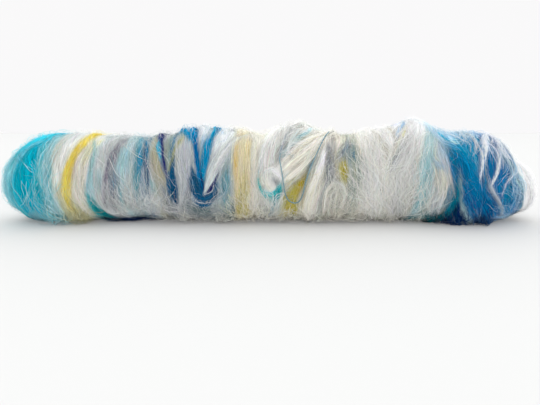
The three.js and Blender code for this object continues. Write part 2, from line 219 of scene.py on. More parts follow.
# Locks and patches of colour that lie on the roll, in the order in which they are laid: how much of what is
# under it each covers, how far it stands up, how thickly it is strewn with fibres of its own, and its path,
# the place and half width at each point
LOCK_COLUMNS = ("tint", "cover", "lift", "fill", "path")
LOCKS = [
    # Left end
    ("deep_teal", 1, 0, 2.8, [(-125, 66, 1.6), (-127.5, 50, 3.8), (-129, 30, 5.8), (-130, 2, 6.6),
        (-130, -26, 5.8), (-128, -46, 4)]),
    ("light_teal", 0.6, 0, 0.8, [(-120.6, 72, 1.6), (-120.6, 40, 2), (-120.4, 0, 2), (-120.4, -44, 2.2)]),
    ("pale_teal", 0.75, 0, 0.9, [(-117.8, 80, 1.6), (-117.8, 40, 1.6), (-117.4, 0, 1.6), (-117, -44, 1.8)]),
    ("deep_teal", 1, 0, 2.2, [(-123, 12, 1.5), (-122.4, -4, 2.4), (-122.6, -20, 2)]),
    ("deep_teal", 0.75, 0, 1.4, [(-122.4, -22, 1.6), (-121.2, -42, 2.2)]),
    ("mist", 0.5, 0, 0.8, [(-126, 58, 2), (-131, 46, 2.6), (-137, 30, 3.2), (-140, 12, 3)]),
    ("teal_grey", 0.6, 0, 0.4, [(-128, -52, 6), (-126, -78, 8)]),
    ("ice", 0.4, 0.4, 0.6, [(-138, 40, 0.1), (-130, 26, 0.12), (-123, 12, 0.15)]),
    ("ice", 0.4, 0.4, 0.6, [(-122, 12, 0.15), (-126, -8, 0.12), (-134, -30, 0.1)]),
    *[("stone", 0.45, 0, 0.5, [(s, 62, 2.6), (s + 1, 90, 2.6)]) for s in (-113, -108, -103, -94, -89)],
    ("ice", 0.9, 0, 1.2, [(-114, -22, 1.6), (-114, -44, 2.6)]),
    ("light_teal", 0.85, 0, 1.4, [(-116, -46, 2.2), (-116, -64, 3)]),
    ("straw", 0.75, 0, 0.6, [(-110.6, 0, 1.4), (-109, -22, 3.6), (-107, -42, 5.4), (-105, -72, 6)]),
    ("khaki", 0.6, 0, 0.6, [(-107, -26, 1), (-105.6, -42, 2.4), (-104.6, -58, 3)]),
    ("mustard", 1, 0.3, 2, [(-98.8, 96, 1.5), (-99.6, 80, 1.8), (-101, 60, 2.1), (-103.4, 40, 1.8),
        (-105.6, 20, 1.7), (-107, 2, 1.8), (-107.8, -12, 1.6), (-107.4, -26, 0.8)]),
    ("lemon", 0.6, 0, 0.5, [(-96.5, 62, 1.2), (-97, 45, 1.4), (-99, 25, 1.2)]),
    ("lemon", 0.6, 0, 0.5, [(-92.4, 70, 1.2), (-93.6, 56, 1.2)]),
    ("pale_teal", 0.9, 0, 0.8, [(-97, 66, 0.5), (-94.4, 45, 0.9), (-94.4, 20, 1.2), (-95.6, 0, 1.6),
        (-96, -22, 2.4)]),
    ("sea", 0.95, 0, 2, [(-97.6, -16, 1), (-96.4, -28, 2), (-95, -40, 2.8), (-93.4, -52, 3.4),
        (-92, -68, 3.8)]),
    ("pine", 0.9, 0, 1.6, [(-95, -34, 0.8), (-92.4, -44, 1.6), (-90, -56, 2.2), (-88, -70, 3)]),
    ("black_teal", 1, 0, 1.8, [(-93, -58, 2.2), (-88, -64, 3.2), (-79, -70, 3.4), (-64, -76, 2.6)]),
    ("midnight", 1, 0, 2.4, [(-88, -57, 1), (-80, -64, 1.8), (-72, -69, 2), (-65, -73, 1.4)]),
    # Between the left end and the V fold
    ("teal_grey", 0.7, 0, 0.8, [(-90.4, 18, 1.2), (-90.4, 4, 1.8), (-91, -10, 1.6)]),
    ("plum_grey", 0.6, 0, 0.6, [(-80, 70, 1.4), (-82, 54, 1.8), (-83.5, 42, 1.8)]),
    ("mauve", 0.95, 0.2, 2, [(-82.4, 54, 0.8), (-83.4, 42, 1.8), (-84, 30, 1.9), (-85, 18, 1.3)]),
    ("mauve", 1, 0, 1.6, [(-85, 16, 1), (-86.4, 9, 1.5), (-87.6, 4, 1)]),
    ("plum_grey", 0.5, 0, 0.8, [(-83, 2, 1.6), (-82.6, -8, 1.8), (-83, -18, 1.2)]),
    ("steel", 0.4, 0, 0.6, [(-83, 12, 2.2), (-82.4, -2, 2.6), (-82.4, -18, 2)]),
    ("mauve", 0.9, 0.2, 2, [(-83.4, 0, 0.6), (-83.4, -10, 0.9), (-83.6, -26, 0.5)]),
    ("mauve", 0.85, 0.2, 2, [(-87, -2, 0.5), (-88.6, -18, 0.6), (-89.8, -36, 0.5)]),
    ("slate_grey", 0.85, 0.2, 2, [(-85.4, -10, 0.5), (-86, -36, 0.6)]),
    ("slate_grey", 0.8, 0.2, 2, [(-78, -6, 0.4), (-78.2, -36, 0.6)]),
    ("plum_grey", 0.8, 0.2, 2, [(-73.6, -12, 0.5), (-73.8, -40, 0.7)]),
    ("pale_teal", 1, 0, 1.2, [(-78.5, 48, 2), (-78.4, 34, 2.8), (-79, 20, 2.4)]),
    ("light_teal", 0.7, 0.2, 1.4, [(-80, -4, 0.5), (-80, -16, 0.7), (-80.6, -36, 0.6)]),
    ("grey", 0.7, 0, 0.6, [(-75.5, 8, 2), (-75, -20, 3), (-74, -40, 4)]),
    ("dusk_teal", 1, 0.2, 1.6, [(-72.4, 86, 1.2), (-71.8, 62, 1.3), (-70.8, 44, 1.8), (-70.2, 28, 2.1),
        (-70.6, 10, 1.8), (-71.6, -10, 1), (-72, -22, 0.5)]),
    ("cerulean", 0.8, 0, 2, [(-70.6, 52, 0.6), (-69.8, 40, 1.2), (-69.5, 28, 1.6), (-69.9, 14, 1)]),
    ("slate", 0.8, 0, 0.8, [(-68, 24, 1.2), (-67.6, 5, 1.6), (-67.4, -12, 1.2)]),
    ("ocean", 1, 0.3, 2.4, [(-68.6, 68, 0.6), (-67.2, 52, 1.3), (-66, 36, 1.3), (-65.4, 20, 0.8),
        (-65.2, 6, 0.6), (-65, -16, 0.5)]),
    ("cerulean", 0.8, 0, 1.8, [(-68.2, 66, 0.5), (-67.2, 54, 1), (-66.4, 42, 1.1), (-65.9, 32, 0.6)]),
    ("navy", 0.8, 0, 1.2, [(-65.8, 30, 0.5), (-65.3, 20, 0.7), (-65, 6, 0.5)]),
    ("tan", 0.95, 0.2, 1.2, [(-64, 66, 0.8), (-63, 50, 1.2), (-61.4, 32, 1.7), (-59.6, 16, 1.9),
        (-57, 4, 1.6), (-54.6, -3, 0.8)]),
    ("pale_teal", 0.8, 0, 0.7, [(-63, 5, 1), (-62, -8, 1.8)]),
    ("sage", 1, 0, 1.4, [(-56, 70, 2), (-55.4, 46, 2.2), (-54.4, 26, 1.6)]),
    ("steel", 0.95, 0, 1.4, [(-53.4, 70, 1), (-52.8, 46, 1.6), (-53, 30, 1)]),
    ("navy", 1, 0.5, 2.8, [(-62.8, 94, 1.4), (-61.4, 82, 2), (-60.6, 72, 2), (-59.8, 62, 1.3),
        (-58.6, 50, 0.9), (-57.4, 36, 0.8), (-55.8, 20, 0.7), (-54.4, 6, 0.5)]),
    ("cyan", 1, 0.3, 2.2, [(-61.4, 61, 0.6), (-60.6, 51, 1.3), (-59.5, 42, 1.2), (-58.6, 33, 0.5)]),
    ("olive", 1, 0, 1.4, [(-47.5, 62, 0.6), (-49.6, 58, 0.7), (-51.2, 46, 0.8), (-52.2, 32, 0.7),
        (-53.2, 18, 0.6)]),
    ("straw", 0.6, 0, 0.5, [(-48.5, 68, 1.6), (-49, 50, 1.4)]),
    ("ocean", 1, 0.2, 3, [(-51, 34, 0.4), (-51.8, 20, 1), (-52.4, 8, 2), (-52.4, -4, 2.4),
        (-52, -16, 2.4), (-51, -29, 1.4)]),
    ("navy", 0.8, 0, 1.2, [(-51.4, -4, 0.5), (-50.9, -20, 0.6)]),
    ("slate_grey", 0.6, 0, 0.6, [(-55, -16, 2.6), (-54, -36, 3.4), (-53, -52, 4)]),
    ("lavender", 0.85, 0.3, 0.9, [(-46.4, 50, 2.2), (-46, 34, 2.8), (-45.5, 10, 3), (-45, -14, 2.4)]),
    ("slate_grey", 0.5, 0, 0.6, [(-43, 4, 1), (-44, -20, 2.2), (-45, -46, 4)]),
    # V fold, its arms and the arcs under its point
    ("storm", 0.75, 0, 0.9, [(-46, -30, 3), (-40, -38, 5), (-33, -42, 6), (-26, -38, 4)]),
    ("pearl", 0.7, 0.3, 0.8, [(-38, 104, 3.4), (-37.6, 80, 3), (-37.4, 64, 1.8)]),
    ("teal_grey", 0.8, 0, 0.6, [(-37.6, 58, 1.2), (-37.2, 44, 1.4), (-37.2, 30, 0.8)]),
    ("haze", 0.8, 0, 0.6, [(-41.8, 8, 1.2), (-41.2, -8, 1.6)]),
    ("ocean", 1, 0.2, 2.6, [(-42.4, 8, 0.8), (-41.6, -8, 1.4), (-39.6, -16, 1.9), (-36.4, -20, 2.1),
        (-33, -18, 2), (-30, -10, 1.6), (-28, 2, 1)]),
    ("ocean", 0.8, 0, 1.8, [(-41.6, -20, 1), (-38.4, -27, 1.3), (-34.5, -28, 1.3), (-31, -22, 1.2),
        (-28, -13, 0.9)]),
    ("ocean", 0.85, 0, 1, [(-39.6, -28, 1), (-37.4, -32, 1.2), (-35.4, -30, 0.9)]),
    ("cerulean", 1, 0.8, 3, [(-51.6, 106, 0.9), (-50.2, 90, 1.2), (-48, 76, 1.6), (-45, 66, 1.4),
        (-42.4, 58, 1)]),
    ("cerulean", 1, 0.9, 3, [(-44.2, 110, 1.8), (-44, 92, 1.8), (-43.8, 78, 1.9), (-42.8, 67, 1.8),
        (-41.5, 57, 1.3), (-40.2, 45, 0.9)]),
    ("sky", 0.4, 0.4, 0.8, [(-48.4, 106, 1.4), (-47.4, 90, 1.3), (-46.2, 78, 0.6)]),
    ("blue", 1, 0.5, 2.4, [(-41.4, 56, 1), (-40, 44, 1), (-39, 30, 1.1), (-38, 14, 1.4), (-37, 2, 1.5),
        (-36.3, -15, 0.6)]),
    ("deep_blue", 0.9, 0, 2, [(-43.6, 104, 0.8), (-43.4, 82, 1.1), (-42, 67, 1.1), (-40.6, 54, 1.1),
        (-39, 26, 0.8), (-37.4, 8, 1), (-36.6, -4, 1), (-36.2, -15, 0.5)]),
    ("cyan", 1, 0.8, 1.6, [(-32.6, 110, 0.6), (-32.2, 92, 0.6), (-31.5, 78, 0.6), (-32.4, 66, 0.5),
        (-33.2, 57, 0.6)]),
    ("cerulean", 1, 0.8, 2.2, [(-29.2, 110, 0.6), (-29.6, 92, 0.7), (-30.4, 80, 0.6), (-31.6, 69, 0.6),
        (-32.8, 58, 0.8), (-33.7, 48, 1.6), (-34.3, 36, 1.7), (-35.2, 20, 1.3), (-36.2, 2, 0.8)]),
    ("cerulean", 1, 0, 1.6, [(-34.4, 58, 0.8), (-35, 48, 1.7), (-35, 38, 2), (-35.5, 26, 1.7),
        (-36.3, 12, 1)]),
    ("haze", 0.6, 0.4, 0.8, [(-37.2, 64, 1), (-37.3, 54, 0.8), (-37.4, 44, 0.3)]),
    ("navy", 0.85, 0, 1.6, [(-37.6, 12, 0.7), (-36.6, 1, 1), (-36.2, -11, 0.7)]),
    ("ocean", 0.95, 0, 2.6, [(-41.6, 20, 0.6), (-41, 9, 1.5), (-40, -1, 2.2), (-38.4, -9, 2.2),
        (-36.8, -14, 1.4)]),
    ("cool_white", 0.5, 0, 0.8, [(-26, 70, 3.4), (-28, 48, 3.6)]),
    ("storm", 0.85, 0, 1.2, [(-36, -54, 4), (-28, -50, 4.5), (-23, -40, 3.5), (-21.6, -26, 1.8)]),
    ("storm", 0.85, 0, 0.8, [(-25, -48, 3), (-23.6, -66, 3.5)]),
    ("teal_grey", 0.75, 0, 0.6, [(-22.5, 44, 1.6), (-23.5, 25, 2.4), (-24.5, 5, 2.8), (-25, -20, 3.2),
        (-25, -44, 3)]),
    ("dusk_teal", 0.85, 0, 1, [(-23.4, 12, 1.4), (-24, -4, 2), (-24.4, -22, 1.4)]),
    ("petrol", 0.8, 0, 0.9, [(-25, 0, 0.9), (-25.2, -14, 1.1)]),
    ("pine", 0.6, 0, 0.6, [(-30, -43, 0.8), (-29.6, -48, 0.6)]),
    ("pine", 0.5, 0, 0.6, [(-25.4, -37, 0.6), (-25.2, -43, 0.5)]),
    ("pearl", 0.95, 1.1, 2.6, [(-8, 77, 0.9), (-13, 64, 1.6), (-18, 52, 2.6), (-23, 40, 3.6),
        (-27.5, 26, 3.9), (-30.5, 14, 3.1), (-32.8, 2, 1.8), (-34.6, -8, 0.8), (-35.6, -14, 0.3)]),
    # painted highlight along the white wedge
    ("silver", 0.7, 0.3, 1.2, [(-10, 73, 0.5), (-17, 54, 1.2), (-24, 36, 1.4), (-29.5, 18, 1.2),
        (-33.6, 0, 0.7)]),
    ("navy", 1, 0.3, 2.4, [(-26.6, 17, 0.3), (-28.6, 7, 0.5), (-30.6, -1, 0.8), (-33, -9, 0.6),
        (-35.2, -15, 0.4)]),
    ("white", 0.6, 0.4, 1, [(-43, -16, 0.25), (-40, -23, 0.3), (-36.5, -25.5, 0.3), (-32, -23, 0.3),
        (-28, -18, 0.25)]),
    ("white", 0.7, 0.5, 1.2, [(-50.5, -46, 0.3), (-49, -30, 0.4), (-47, -19, 0.4), (-45, -11, 0.3)]),
    # Mustard band
    ("beige", 0.55, 0, 0.6, [(-13, 82, 5), (-5, 66, 3.6)]),
    ("pale_mustard", 0.9, 0.3, 1.4, [(-13.6, 64, 1.6), (-15.3, 48, 4), (-15.6, 25, 4.6), (-15.2, 0, 4.3),
        (-15.5, -25, 4), (-15.6, -54, 3.6)]),
    ("honey", 0.65, 0, 0.9, [(-18.4, 44, 1), (-18.8, 25, 1.3), (-18.2, 4, 1)]),
    ("honey", 0.5, 0, 0.7, [(-12.6, 56, 0.7), (-12.4, 34, 0.8)]),
    ("khaki", 0.35, 0, 0.5, [(-14.5, 46, 0.7), (-14, 15, 0.8), (-13.6, -20, 1)]),
    ("khaki", 0.4, 0, 0.7, [(-15.4, 8, 3.2), (-15.5, -20, 3.2)]),
    ("khaki", 0.95, 0, 1, [(-17, -15, 1.8), (-17.2, -48, 1.8)]),
    ("khaki", 0.9, 0, 1, [(-13.6, -12, 1.4), (-13.4, -48, 1.4)]),
    ("cream", 0.8, 0.2, 0.9, [(-8, 68, 2.2), (-7.8, 30, 2.6), (-8, -10, 2.6), (-8, -54, 2.6)]),
    # Curl in the middle, with the teal crescent under it
    ("ash", 0.5, 0, 0.5, [(-4, -16, 2), (-4, -48, 3)]),
    ("dusk_teal", 0.7, 0, 0.9, [(1.6, -22, 1), (0.6, -34, 1.1), (-0.6, -52, 1)]),
    ("teal_grey", 0.6, 0, 0.6, [(3.6, -24, 0.7), (4, -46, 0.9)]),
    ("white", 0.95, 0.8, 2, [(8, 104, 3), (4, 84, 4), (0.5, 66, 4.2), (-1.5, 48, 4.2), (-2.5, 34, 4),
        (-3, 20, 3.4), (-3, 9, 2.6), (-2, 0, 1.6)]),
    ("silver", 0.5, 0.3, 1, [(2, 82, 0.8), (-3.5, 52, 1), (-5.6, 32, 1), (-6, 14, 0.9)]),
    # painted shadow in the hollow inside the curl's ring
    ("slate_grey", 0.7, -0.6, 0.5, [(1.2, 7, 1.2), (2.8, 2, 1.4), (3.8, -2, 1)]),
    ("cream", 0.9, 0.6, 1.4, [(-4.6, 10, 1.8), (-3.4, 2, 2), (-1.6, -5, 1.5), (0.4, -9, 0.9)]),
    ("aqua", 1, 0.2, 2.2, [(-7, 16, 0.25), (-6.9, 4, 0.4), (-6, -6, 0.7), (-4.2, -12, 1.1),
        (-1.6, -16, 1.7), (1.2, -17, 2.3), (3.6, -10, 1.7), (4.7, -1, 0.6)]),
    ("sea", 0.95, 0, 2, [(4.2, -4, 0.9), (3.4, -11, 1.6), (2.4, -19, 1.6), (1.8, -25, 0.8)]),
    ("ice", 0.7, 0, 0.8, [(-5.4, -4, 0.4), (-3, -10, 0.5), (-0.6, -12.5, 0.5)]),
    ("silver", 0.9, 0.6, 2.4, [(-4, 13, 0.8), (-2, 16.5, 1.1), (0.6, 17.5, 1.3), (3.2, 14, 1.1),
        (4.8, 8, 0.8), (5.2, 3, 0.5)]),
    ("white", 0.7, 0.5, 1.2, [(-6.8, -8, 0.3), (-4.4, -18, 0.35), (-0.4, -27, 0.35), (4.6, -36, 0.3),
        (8, -46, 0.25)]),
    # Cream tress over the mustard wedge, the slate strand and pale teal stripe above it
    ("olive_gold", 0.95, 0, 1.4, [(18, 20, 0.8), (16.6, 8, 1.6), (14.4, -2, 2.6), (11.6, -12, 3.2),
        (9.6, -26, 3), (7.5, -42, 2.6), (5.5, -58, 2.4)]),
    ("gold", 1, -0.3, 1.6, [(17.6, 13, 0.6), (16.4, 4, 1.2), (15.2, -5, 1.5), (13.6, -11, 1)]),
    ("olive_gold", 0.95, 0, 1.8, [(12.4, -28, 1.8), (11.6, -40, 2.4), (10, -52, 2.2)]),
    ("moss", 0.8, 0, 0.8, [(11, -48, 1.2), (11.4, -62, 1.8)]),
    ("lemon", 0.6, 0, 1, [(11, 6, 0.8), (9.6, -4, 1.5), (8.4, -14, 1)]),
    ("straw", 0.7, 0, 0.8, [(7.4, -8, 0.8), (6.4, -26, 1), (4.6, -44, 1.2)]),
    ("slate", 0.65, 0.3, 0.9, [(3.4, 28, 0.4), (4.4, 38, 0.5), (5.6, 47, 1), (7.4, 57, 0.9),
        (10, 68, 0.35), (14, 81, 0.2)]),
    ("ice", 0.85, 0.5, 1.5, [(5.4, 35, 0.8), (8.5, 43, 1.5), (12.5, 53, 1.9), (17, 63, 1.7), (21, 72, 1),
        (24, 86, 0.6)]),
    ("ivory", 0.95, 0.8, 2.6, [(30, 74, 1.4), (24, 60, 2), (18, 50, 1.8), (12, 40, 1.5), (7, 30, 0.9),
        (5, 23, 0.5)]),
    ("ivory", 0.95, 0.7, 2.6, [(29, 61, 1.2), (23.5, 40, 1.8), (18, 25, 1.8), (12, 12, 1.8), (7, 3, 1.2)]),
    ("ivory", 0.95, 0.9, 3, [(31, 67, 1.6), (25, 50, 2.2), (18, 36, 2.2), (11, 25, 1.8), (6, 16, 1)]),
    ("pale_mustard", 0.6, 0, 0.6, [(25.5, 47, 0.4), (22.5, 35, 0.6), (19.5, 23, 0.5)]),
    ("beige", 0.85, 0.6, 1.6, [(20, 24, 0.8), (15, 10, 1), (9, -2, 1.2), (6.5, -9, 0.8)]),
    ("white", 0.9, 2.2, 2, [(27, 110, 1.4), (22.5, 102, 1.5), (17.5, 94, 1.6), (12.5, 84, 1.5),
        (10.4, 76, 1.3), (9.2, 70, 0.9)]),
    ("white", 0.9, 2.2, 1.8, [(4.4, 33, 0.4), (5.4, 43, 0.8), (6.8, 55, 0.9), (8.2, 65, 0.9),
        (9.6, 73, 1)]),
    ("slate", 0.5, 1.2, 0.7, [(3.8, 30, 0.2), (5, 40, 0.3), (6.4, 52, 0.5), (8.4, 62, 0.35),
        (11, 71, 0.25), (15, 82, 0.2)]),
    ("ivory", 0.9, 2, 2, [(37, 106, 1.5), (35, 94, 1.5), (33, 82, 1.3), (31.4, 74, 0.8)]),
    ("teal_grey", 0.8, 0.2, 1.4, [(5, 31, 0.3), (7, 34, 0.6), (9.4, 34, 0.5), (11, 32, 0.3)]),
    ("pale_teal", 0.8, 0.3, 1.4, [(8.6, 44, 0.4), (13, 53, 0.6), (18, 63, 0.6), (20.6, 71, 0.4)]),
    ("cream", 0.8, 0.4, 1.2, [(13.4, -4.4, 0.25), (15.4, -4.8, 0.35), (17.4, -4.4, 0.3)]),
    ("steel", 0.5, 0, 0.8, [(17.6, 3, 0.8), (18.8, 14, 1.1), (20.6, 25, 1.1), (22.4, 35, 0.6)]),
    ("straw", 0.6, 0, 0.8, [(18.4, -2, 0.8), (17.2, -18, 0.9), (15.6, -36, 0.8)]),
    # Silver lock, the patches on its right and the white loop
    ("slate_grey", 0.85, -0.3, 1, [(30.4, 50, 1.4), (30.6, 36, 2.2), (30.6, 22, 2.6), (30.2, 8, 2.4),
        (29.4, -2, 1.8)]),
    ("graphite", 0.7, 0, 0.8, [(30.4, 28, 1), (30.2, 10, 1.3)]),
    ("ash", 0.75, 0, 0.6, [(28, -4, 1.8), (27, -14, 1.6), (26.6, -28, 1.8), (26.6, -50, 2.6)]),
    ("ivory", 0.8, 0.9, 2.6, [(28.4, 48, 0.8), (27.4, 36, 1.5), (26, 25, 2), (24.6, 14, 2), (23, 4, 2.2),
        (21.6, -8, 2.8), (20.4, -22, 3.1), (19.9, -36, 2.8), (20, -52, 1.9), (20.4, -70, 0.8)]),
    # painted highlight, a silky sheen, on the upper part of the silver lock
    ("silver", 1, 0.5, 3.4, [(28, 44, 0.6), (26.4, 30, 1.7), (24.8, 18, 1.8), (23.6, 6, 0.9)]),
    ("cream", 0.6, 0.3, 1.6, [(24.4, 2, 0.5), (22.4, -12, 0.8), (21, -28, 0.9), (20.4, -46, 0.7)]),
    ("tan", 0.9, 0.4, 1.2, [(32.6, 46, 0.3), (33.6, 28, 0.5), (35.2, 12, 0.6), (36.2, -1, 0.5)]),
    ("olive_gold", 1, 0, 1.8, [(37.2, 33, 0.9), (38, 22, 2), (38.3, 12, 2.1), (38, 1, 1)]),
    ("slate_grey", 0.5, 0, 1.2, [(41.4, 62, 1.2), (40.4, 52, 2.8), (39, 42, 3.4), (37.6, 32, 2.4)]),
    ("steel", 0.5, 0, 1.2, [(41.2, 58, 0.5), (40.2, 50, 1), (37.6, 40, 1)]),
    ("steel", 0.5, 0, 1.2, [(44, 60, 0.6), (43.2, 42, 0.9), (43.6, 24, 0.6)]),
    ("steel", 0.45, 0, 0.8, [(42, 44, 1.6), (41.4, 22, 1.4)]),
    ("sage", 0.85, 0, 0.9, [(44, 50, 2), (44.6, 25, 2.6), (44.2, 5, 2.4), (43, -18, 1.6)]),
    ("sage", 0.65, 0, 1, [(44.4, 12, 2.2), (42.6, -4, 2.4), (40.8, -18, 2)]),
    ("khaki", 0.5, 0, 0.6, [(44.2, 23, 0.7), (43.8, 10, 0.7)]),
    ("beige", 0.6, 0, 0.5, [(33, -20, 5), (34, -56, 7)]),
    ("ash", 0.6, 0, 0.5, [(41, -22, 1.4), (41, -48, 2)]),
    # painted shade under the white loop's arch and in the hollows between its strands
    ("ash", 0.7, -0.4, 0.5, [(31, -8, 2.2), (33, -20, 3.6)]),
    ("ash", 0.8, -0.3, 0.4, [(32.6, -6, 1.2), (32.8, -20, 1.6), (33, -40, 1.6)]),
    ("ash", 0.8, -0.3, 0.4, [(36, -6, 0.9), (35.6, -22, 1.1), (35, -40, 1.2)]),
    ("cream", 0.9, 0.7, 2, [(35.4, 2, 0.6), (32.4, 0, 0.9), (29.8, -5, 1), (28.4, -14, 1), (28, -28, 0.9),
        (28.6, -44, 0.6)]),
    ("white", 0.8, 0.5, 1.6, [(35, 0, 0.4), (33, -7, 0.6), (31.4, -17, 0.7), (30.8, -30, 0.7),
        (31.2, -46, 0.5)]),
    ("cream", 0.8, 0.5, 1.6, [(35.6, 0, 0.4), (34.6, -10, 0.6), (34, -24, 0.7), (34, -42, 0.5)]),
    ("white", 0.95, 0.8, 2, [(35, 2, 0.6), (37, -1, 0.8), (38.4, -10, 0.9), (38.4, -22, 0.8),
        (37, -40, 0.5)]),
    # White stretch and hump
    ("white", 0.7, 0.3, 0.8, [(53, 90, 4.5), (52, 40, 4.5), (53, 0, 4.5), (56, -56, 5)]),
    ("tan", 0.5, 0, 0.6, [(58.6, 58, 1.6), (59.6, 46, 1.6), (61.4, 40, 1.2)]),
    ("grey", 0.6, 0, 0.6, [(66, 12, 5), (67, -20, 5), (71, -56, 5)]),
    ("grey_lilac", 0.9, 0, 1, [(73, 47, 1.8), (69.5, 36, 3.2), (66, 27, 3.2), (63, 19, 2.4)]),
    ("slate_grey", 0.65, 0, 1, [(70.5, 47, 0.8), (66, 34, 1.2), (63, 26, 0.8)]),
    ("ash", 0.45, 0, 0.6, [(47.6, 36, 1.6), (48, 8, 2.4), (48.6, -24, 2.6)]),
    ("silver", 0.9, 0.9, 2, [(62, 104, 3), (62, 84, 3.2), (62.6, 66, 2.6), (63.4, 52, 1.6), (64, 45, 0.7)]),
    ("silver", 1, 0.5, 3.6, [(79, 108, 4), (80, 86, 5), (79, 70, 4.6), (77, 56, 3.6), (74, 45, 2.6)]),
    ("lilac", 0.7, 0.3, 0.8, [(70.5, 84, 1.6), (73.5, 100, 2)]),
    ("lemon", 0.65, 0.4, 1, [(66, 48, 0.4), (68, 54, 0.6), (70.4, 61, 0.6), (72.6, 69, 0.5),
        (74, 76, 0.3)]),
    ("haze", 0.75, 0.5, 1.2, [(68, 62, 0.6), (69.4, 70, 0.9), (71.2, 76, 0.9), (73.4, 83, 0.7),
        (75, 97, 0.5)]),
    ("sky", 0.8, 0.3, 1, [(80, 77, 1), (83, 70, 1.6), (86.4, 67, 1.2)]),
    ("sky", 0.6, 0.3, 0.8, [(77, 104, 0.6), (78.5, 84, 0.6), (80.5, 73, 0.6)]),
    ("pale_teal", 0.85, 0.2, 1, [(82.4, 46, 1.6), (81, 30, 3.4), (80, 10, 3.8), (79.6, -10, 3.4),
        (78.6, -28, 2.6), (77.6, -44, 1.8)]),
    ("light_teal", 0.8, 0, 1.6, [(81, 20, 1), (80, 0, 2), (79.4, -18, 1.8), (78.4, -32, 1)]),
    ("silver", 0.6, 0, 1.2, [(78.6, 52, 2.4), (77, 38, 2.2)]),
    ("ice", 0.9, 0, 1.4, [(85, 62, 2.2), (82.6, 48, 2.8), (81.2, 32, 2.8)]),
    ("pine", 0.6, 0, 0.8, [(80, -46, 1.8), (77, -56, 2.6), (74, -74, 3)]),
    ("grey", 0.6, 0.2, 0.6, [(84, 12, 1), (84, -32, 1.4)]),
    ("sky", 0.85, 0.2, 1, [(84, 68, 1.4), (88, 61, 2.8), (91.4, 53, 2.6), (91.6, 44, 2.2), (89, 34, 2.4)]),
    ("lavender", 0.7, 0, 0.7, [(88.5, 32, 2.6), (89.5, 20, 2)]),
    ("haze", 0.8, 0, 0.9, [(85.2, 24, 1), (88, 20, 1.6), (90.6, 15, 1)]),
    ("haze", 0.8, 0, 0.8, [(91.6, 44, 0.4), (91.4, 24, 0.4)]),
    ("beige", 0.9, 0.5, 1.2, [(88.6, 13, 2.6), (89.4, 2, 3.4), (90, -12, 2.6)]),
    ("grey", 0.7, 0, 0.6, [(88.5, -18, 2.6), (88.5, -36, 3.2)]),
    # Blue twist
    ("black_teal", 1, 1, 2.2, [(88, -48, 1.4), (89, -53, 4), (90, -62, 5.4), (91, -76, 6)]),
    ("midnight", 1, 1.5, 3, [(99.4, -25, 0.7), (99, -36, 2.4), (99.2, -46, 4.2), (101.4, -60, 5),
        (103, -78, 5.4)]),
    ("steel", 0.75, 0.2, 0.9, [(93.6, -3, 1.4), (93.8, -14, 2), (93.4, -30, 2)]),
    ("petrol", 1, 0.5, 2, [(96.6, 3, 0.8), (98, -10, 1.1), (97.4, -20, 1.5), (96, -32, 1.6),
        (94.8, -44, 1.4), (93, -58, 1.2)]),
    ("cerulean", 1, 0, 2.2, [(102, 74, 4.5), (104, 54, 5.5), (106, 38, 4.6), (108, 22, 3)]),
    ("cyan", 0.95, 0.4, 1.8, [(89.6, 68, 1), (92, 60, 1.6), (93.8, 52, 1.9), (95.2, 44, 2)]),
    ("blue", 1, 1, 2.8, [(94.6, 54, 1.6), (96.6, 40, 2.8), (98.8, 26, 4.2), (100.6, 12, 4.6),
        (102.8, 0, 4.4), (107, -12, 4.6), (111.5, -24, 4.8), (115.5, -36, 4.6), (118.4, -47, 3.6),
        (120.5, -58, 2.4)]),
    ("cerulean", 0.95, 0, 1.8, [(96.4, 50, 1.6), (98.4, 40, 2.4), (101.2, 30, 2), (103.6, 18, 1.2)]),
    ("deep_blue", 0.8, 0, 1.4, [(95.8, 24, 1.6), (98.2, 6, 1.6)]),
    ("cerulean", 0.9, 0, 1.8, [(92.8, 38, 1), (94.2, 30, 1.6), (95.6, 22, 1.2)]),
    ("cyan", 0.8, 0, 1.6, [(94.6, 45, 1.6), (98.6, 41, 2.2), (101.4, 38, 1.4)]),
    ("ice", 0.6, 0, 1.2, [(92, 57, 1.8), (96.4, 53, 2.4), (101, 53, 2)]),
    ("blue", 0.9, 0, 1.8, [(93.8, 34, 1.1), (94.4, 20, 1.4), (95.2, 8, 1.2)]),
    *[("sky", 0.9, 0, 1.2, [(s, 62, 1.6),
        (s - 1, 84, 2.4)]) for s in (89, 93, 97, 101, 105, 109, 113, 117)],
    ("deep_blue", 1, 0, 2, [(105, -4, 1.2), (109.4, -18, 2.4), (113.6, -32, 3), (116, -42, 3)]),
    ("deep_blue", 0.8, 0, 1.8, [(101, -6, 2), (104.6, -16, 2.8), (108, -26, 3), (110, -36, 2.4)]),
    ("deep_blue", 0.8, 0, 1.6, [(114.6, -22, 1.6), (117.4, -30, 2.4), (119, -40, 2)]),
    ("midnight", 0.9, 1.2, 1.8, [(115, -37, 2), (117, -46, 3.4), (118, -62, 4.6), (118, -78, 4.6)]),
    ("teal_grey", 0.9, 0.4, 1.4, [(97.4, 17, 0.5), (98.2, 2, 0.7), (99.4, -10, 0.8), (100, -20, 0.6)]),
    ("teal_grey", 0.95, 0.7, 2, [(99.6, -19, 0.6), (101.4, -28, 1.2), (104.6, -40, 1.7), (109, -52, 1.8),
        (113.6, -64, 1.6), (117, -78, 1.4)]),
    ("steel", 0.8, 0.2, 1, [(112.6, -37, 0.6), (116, -52, 1), (120, -68, 1.4)]),
    ("midnight", 0.7, 0, 0.8, [(121, -62, 2.2), (124, -76, 3)]),
    # Right of the twist, with the pale strands that cross it
    ("denim", 0.85, 0, 1.6, [(114.6, 68, 4), (114, 48, 5.5), (113.4, 28, 5.4), (112.6, 8, 4.6),
        (115, -6, 4)]),
    ("denim", 0.85, 0, 1.2, [(121, 58, 2.6), (123.4, 38, 4.6), (124, 18, 7), (126, 0, 7.6),
        (128.5, -18, 8), (131, -38, 7.6), (133, -58, 6)]),
